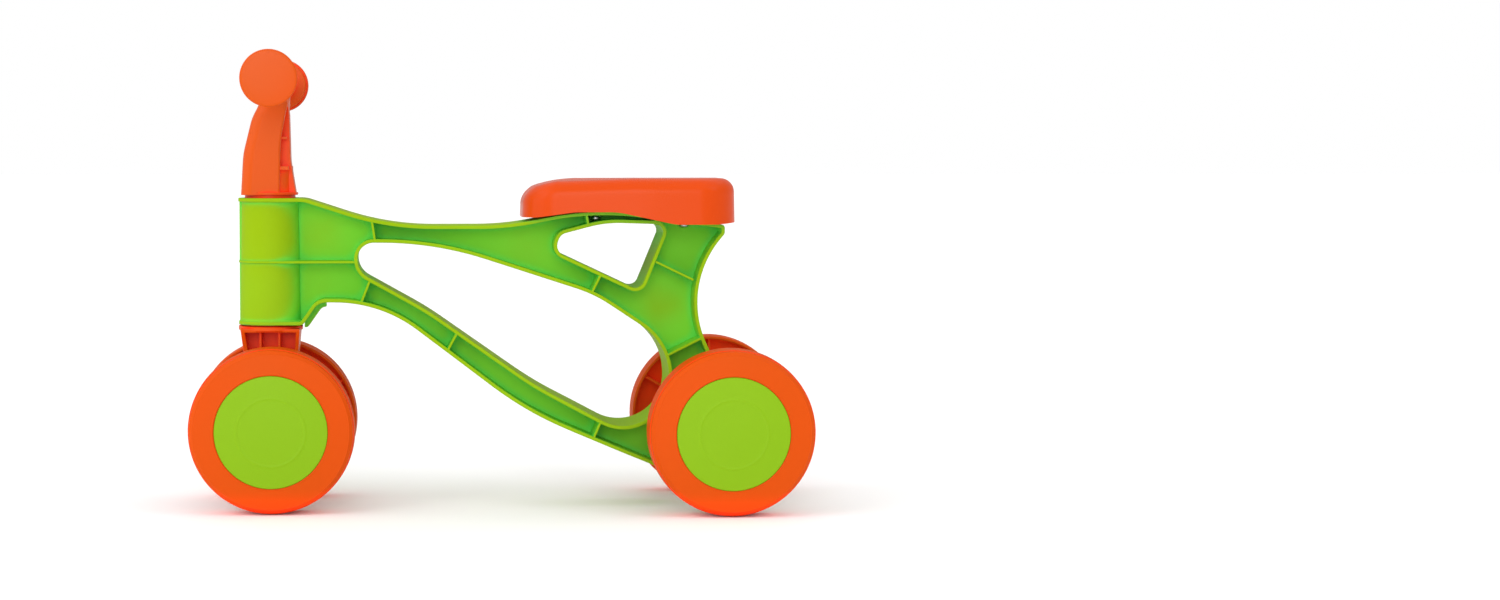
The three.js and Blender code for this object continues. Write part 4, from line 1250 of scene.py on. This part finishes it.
def make_floor():
    material, tree, shader = plain_material("pale_floor")
    cloud = noise_node(tree, object_place(tree), 3)
    colour = mix_node(tree, cloud, (0.95, 0.95, 0.95, 1), (0.97, 0.97, 0.97, 1))
    feed(tree, shader.inputs["Base Color"], colour)
    shader.inputs["Roughness"].default_value = 0.9
    shader.inputs["Specular IOR Level"].default_value = 0.1
    reach = 30.0
    mesh = bpy.data.meshes.new("floor")
    corners = [(-reach, -reach, 0), (reach, -reach, 0), (reach, reach, 0), (-reach, reach, 0)]
    mesh.from_pydata(corners, [], [(0, 1, 2, 3)])
    mesh.materials.append(material)
    added("floor", mesh)


# ---- Assembly ----


def wheel_places():
    """Each wheel's corner name, and the turn and place that set its form on its axle."""
    ends = {"front": (FRONT_WHEEL_PLANE, FRONT_AXLE), "rear": (REAR_WHEEL_PLANE, REAR_AXLE)}
    for place, (plane, axle) in ends.items():
        for label, side in (("left", 1), ("right", -1)):
            turn = Matrix.Translation((side * plane, axle.y, axle.z))
            if side < 0:
                turn = turn @ Matrix.Rotation(math.pi, 4, "Z")
            yield f"{place}_{label}", turn


def add_wheels(finishes):
    forms = [
        (make_wheel(finishes["wheel_orange"]), "tyre_and_disc", "wheel_orange", "wheel"),
        (cap_form(), "domed_cap", "cap_green", "hub_cap"),
    ]
    for corner, turn in wheel_places():
        body = f"{corner}_wheel"
        for form, name, slot, node in forms:
            piece, replaced = f"{corner}_{name}", f"{corner}_{node}"
            finished(copy_of(form), piece, body, finishes[slot], replaced, turn)
    for form, *_ in forms:
        bpy.data.objects.remove(form)


def add_screws(finishes):
    head_height = 2.6
    screw = screw_form(2.0, 4.5, 20)
    for name, middle in seat_screw_places():
        at = Matrix.Translation((middle.x, middle.y, box_mm(name)[0].z + head_height))
        finished(copy_of(screw), f"{name}_threaded", "frame", finishes["steel"], name, at)
    bpy.data.objects.remove(screw)


def main():
    make_camera()
    finishes = make_finishes()
    make_lights()
    make_floor()
    mouldings = [
        (make_frame, "frame_moulding", "frame", "frame_green", "frame_green", "frame"),
        (make_seat, "seat_shell", "frame", "moulded_orange", "seat_orange", "seat"),
        (make_fork, "fork_moulding", "steering", "moulded_orange", "moulded_orange", "fork"),
        (make_handlebar, "handlebar_moulding", "steering", "moulded_orange", "moulded_orange", "handlebar"),
    ]
    for make, name, body, slot, finish, node in mouldings:
        finished(make(), name, body, finishes[finish], node)
    add_wheels(finishes)
    add_screws(finishes)
    corners = [corner for corner, _ in wheel_places()]
    nylon = ["upper_steering_bush", "lower_steering_bush"] + [f"{corner}_spacer_washer" for corner in corners]
    steel = ["handlebar_screw", "handlebar_washer", "front_axle", "rear_axle"]
    steel += [f"{corner}_axle_nut" for corner in corners]
    for node in nylon:
        carried_over(node, finishes["natural_nylon"])
    for node in steel:
        carried_over(node, finishes["steel"])


main()
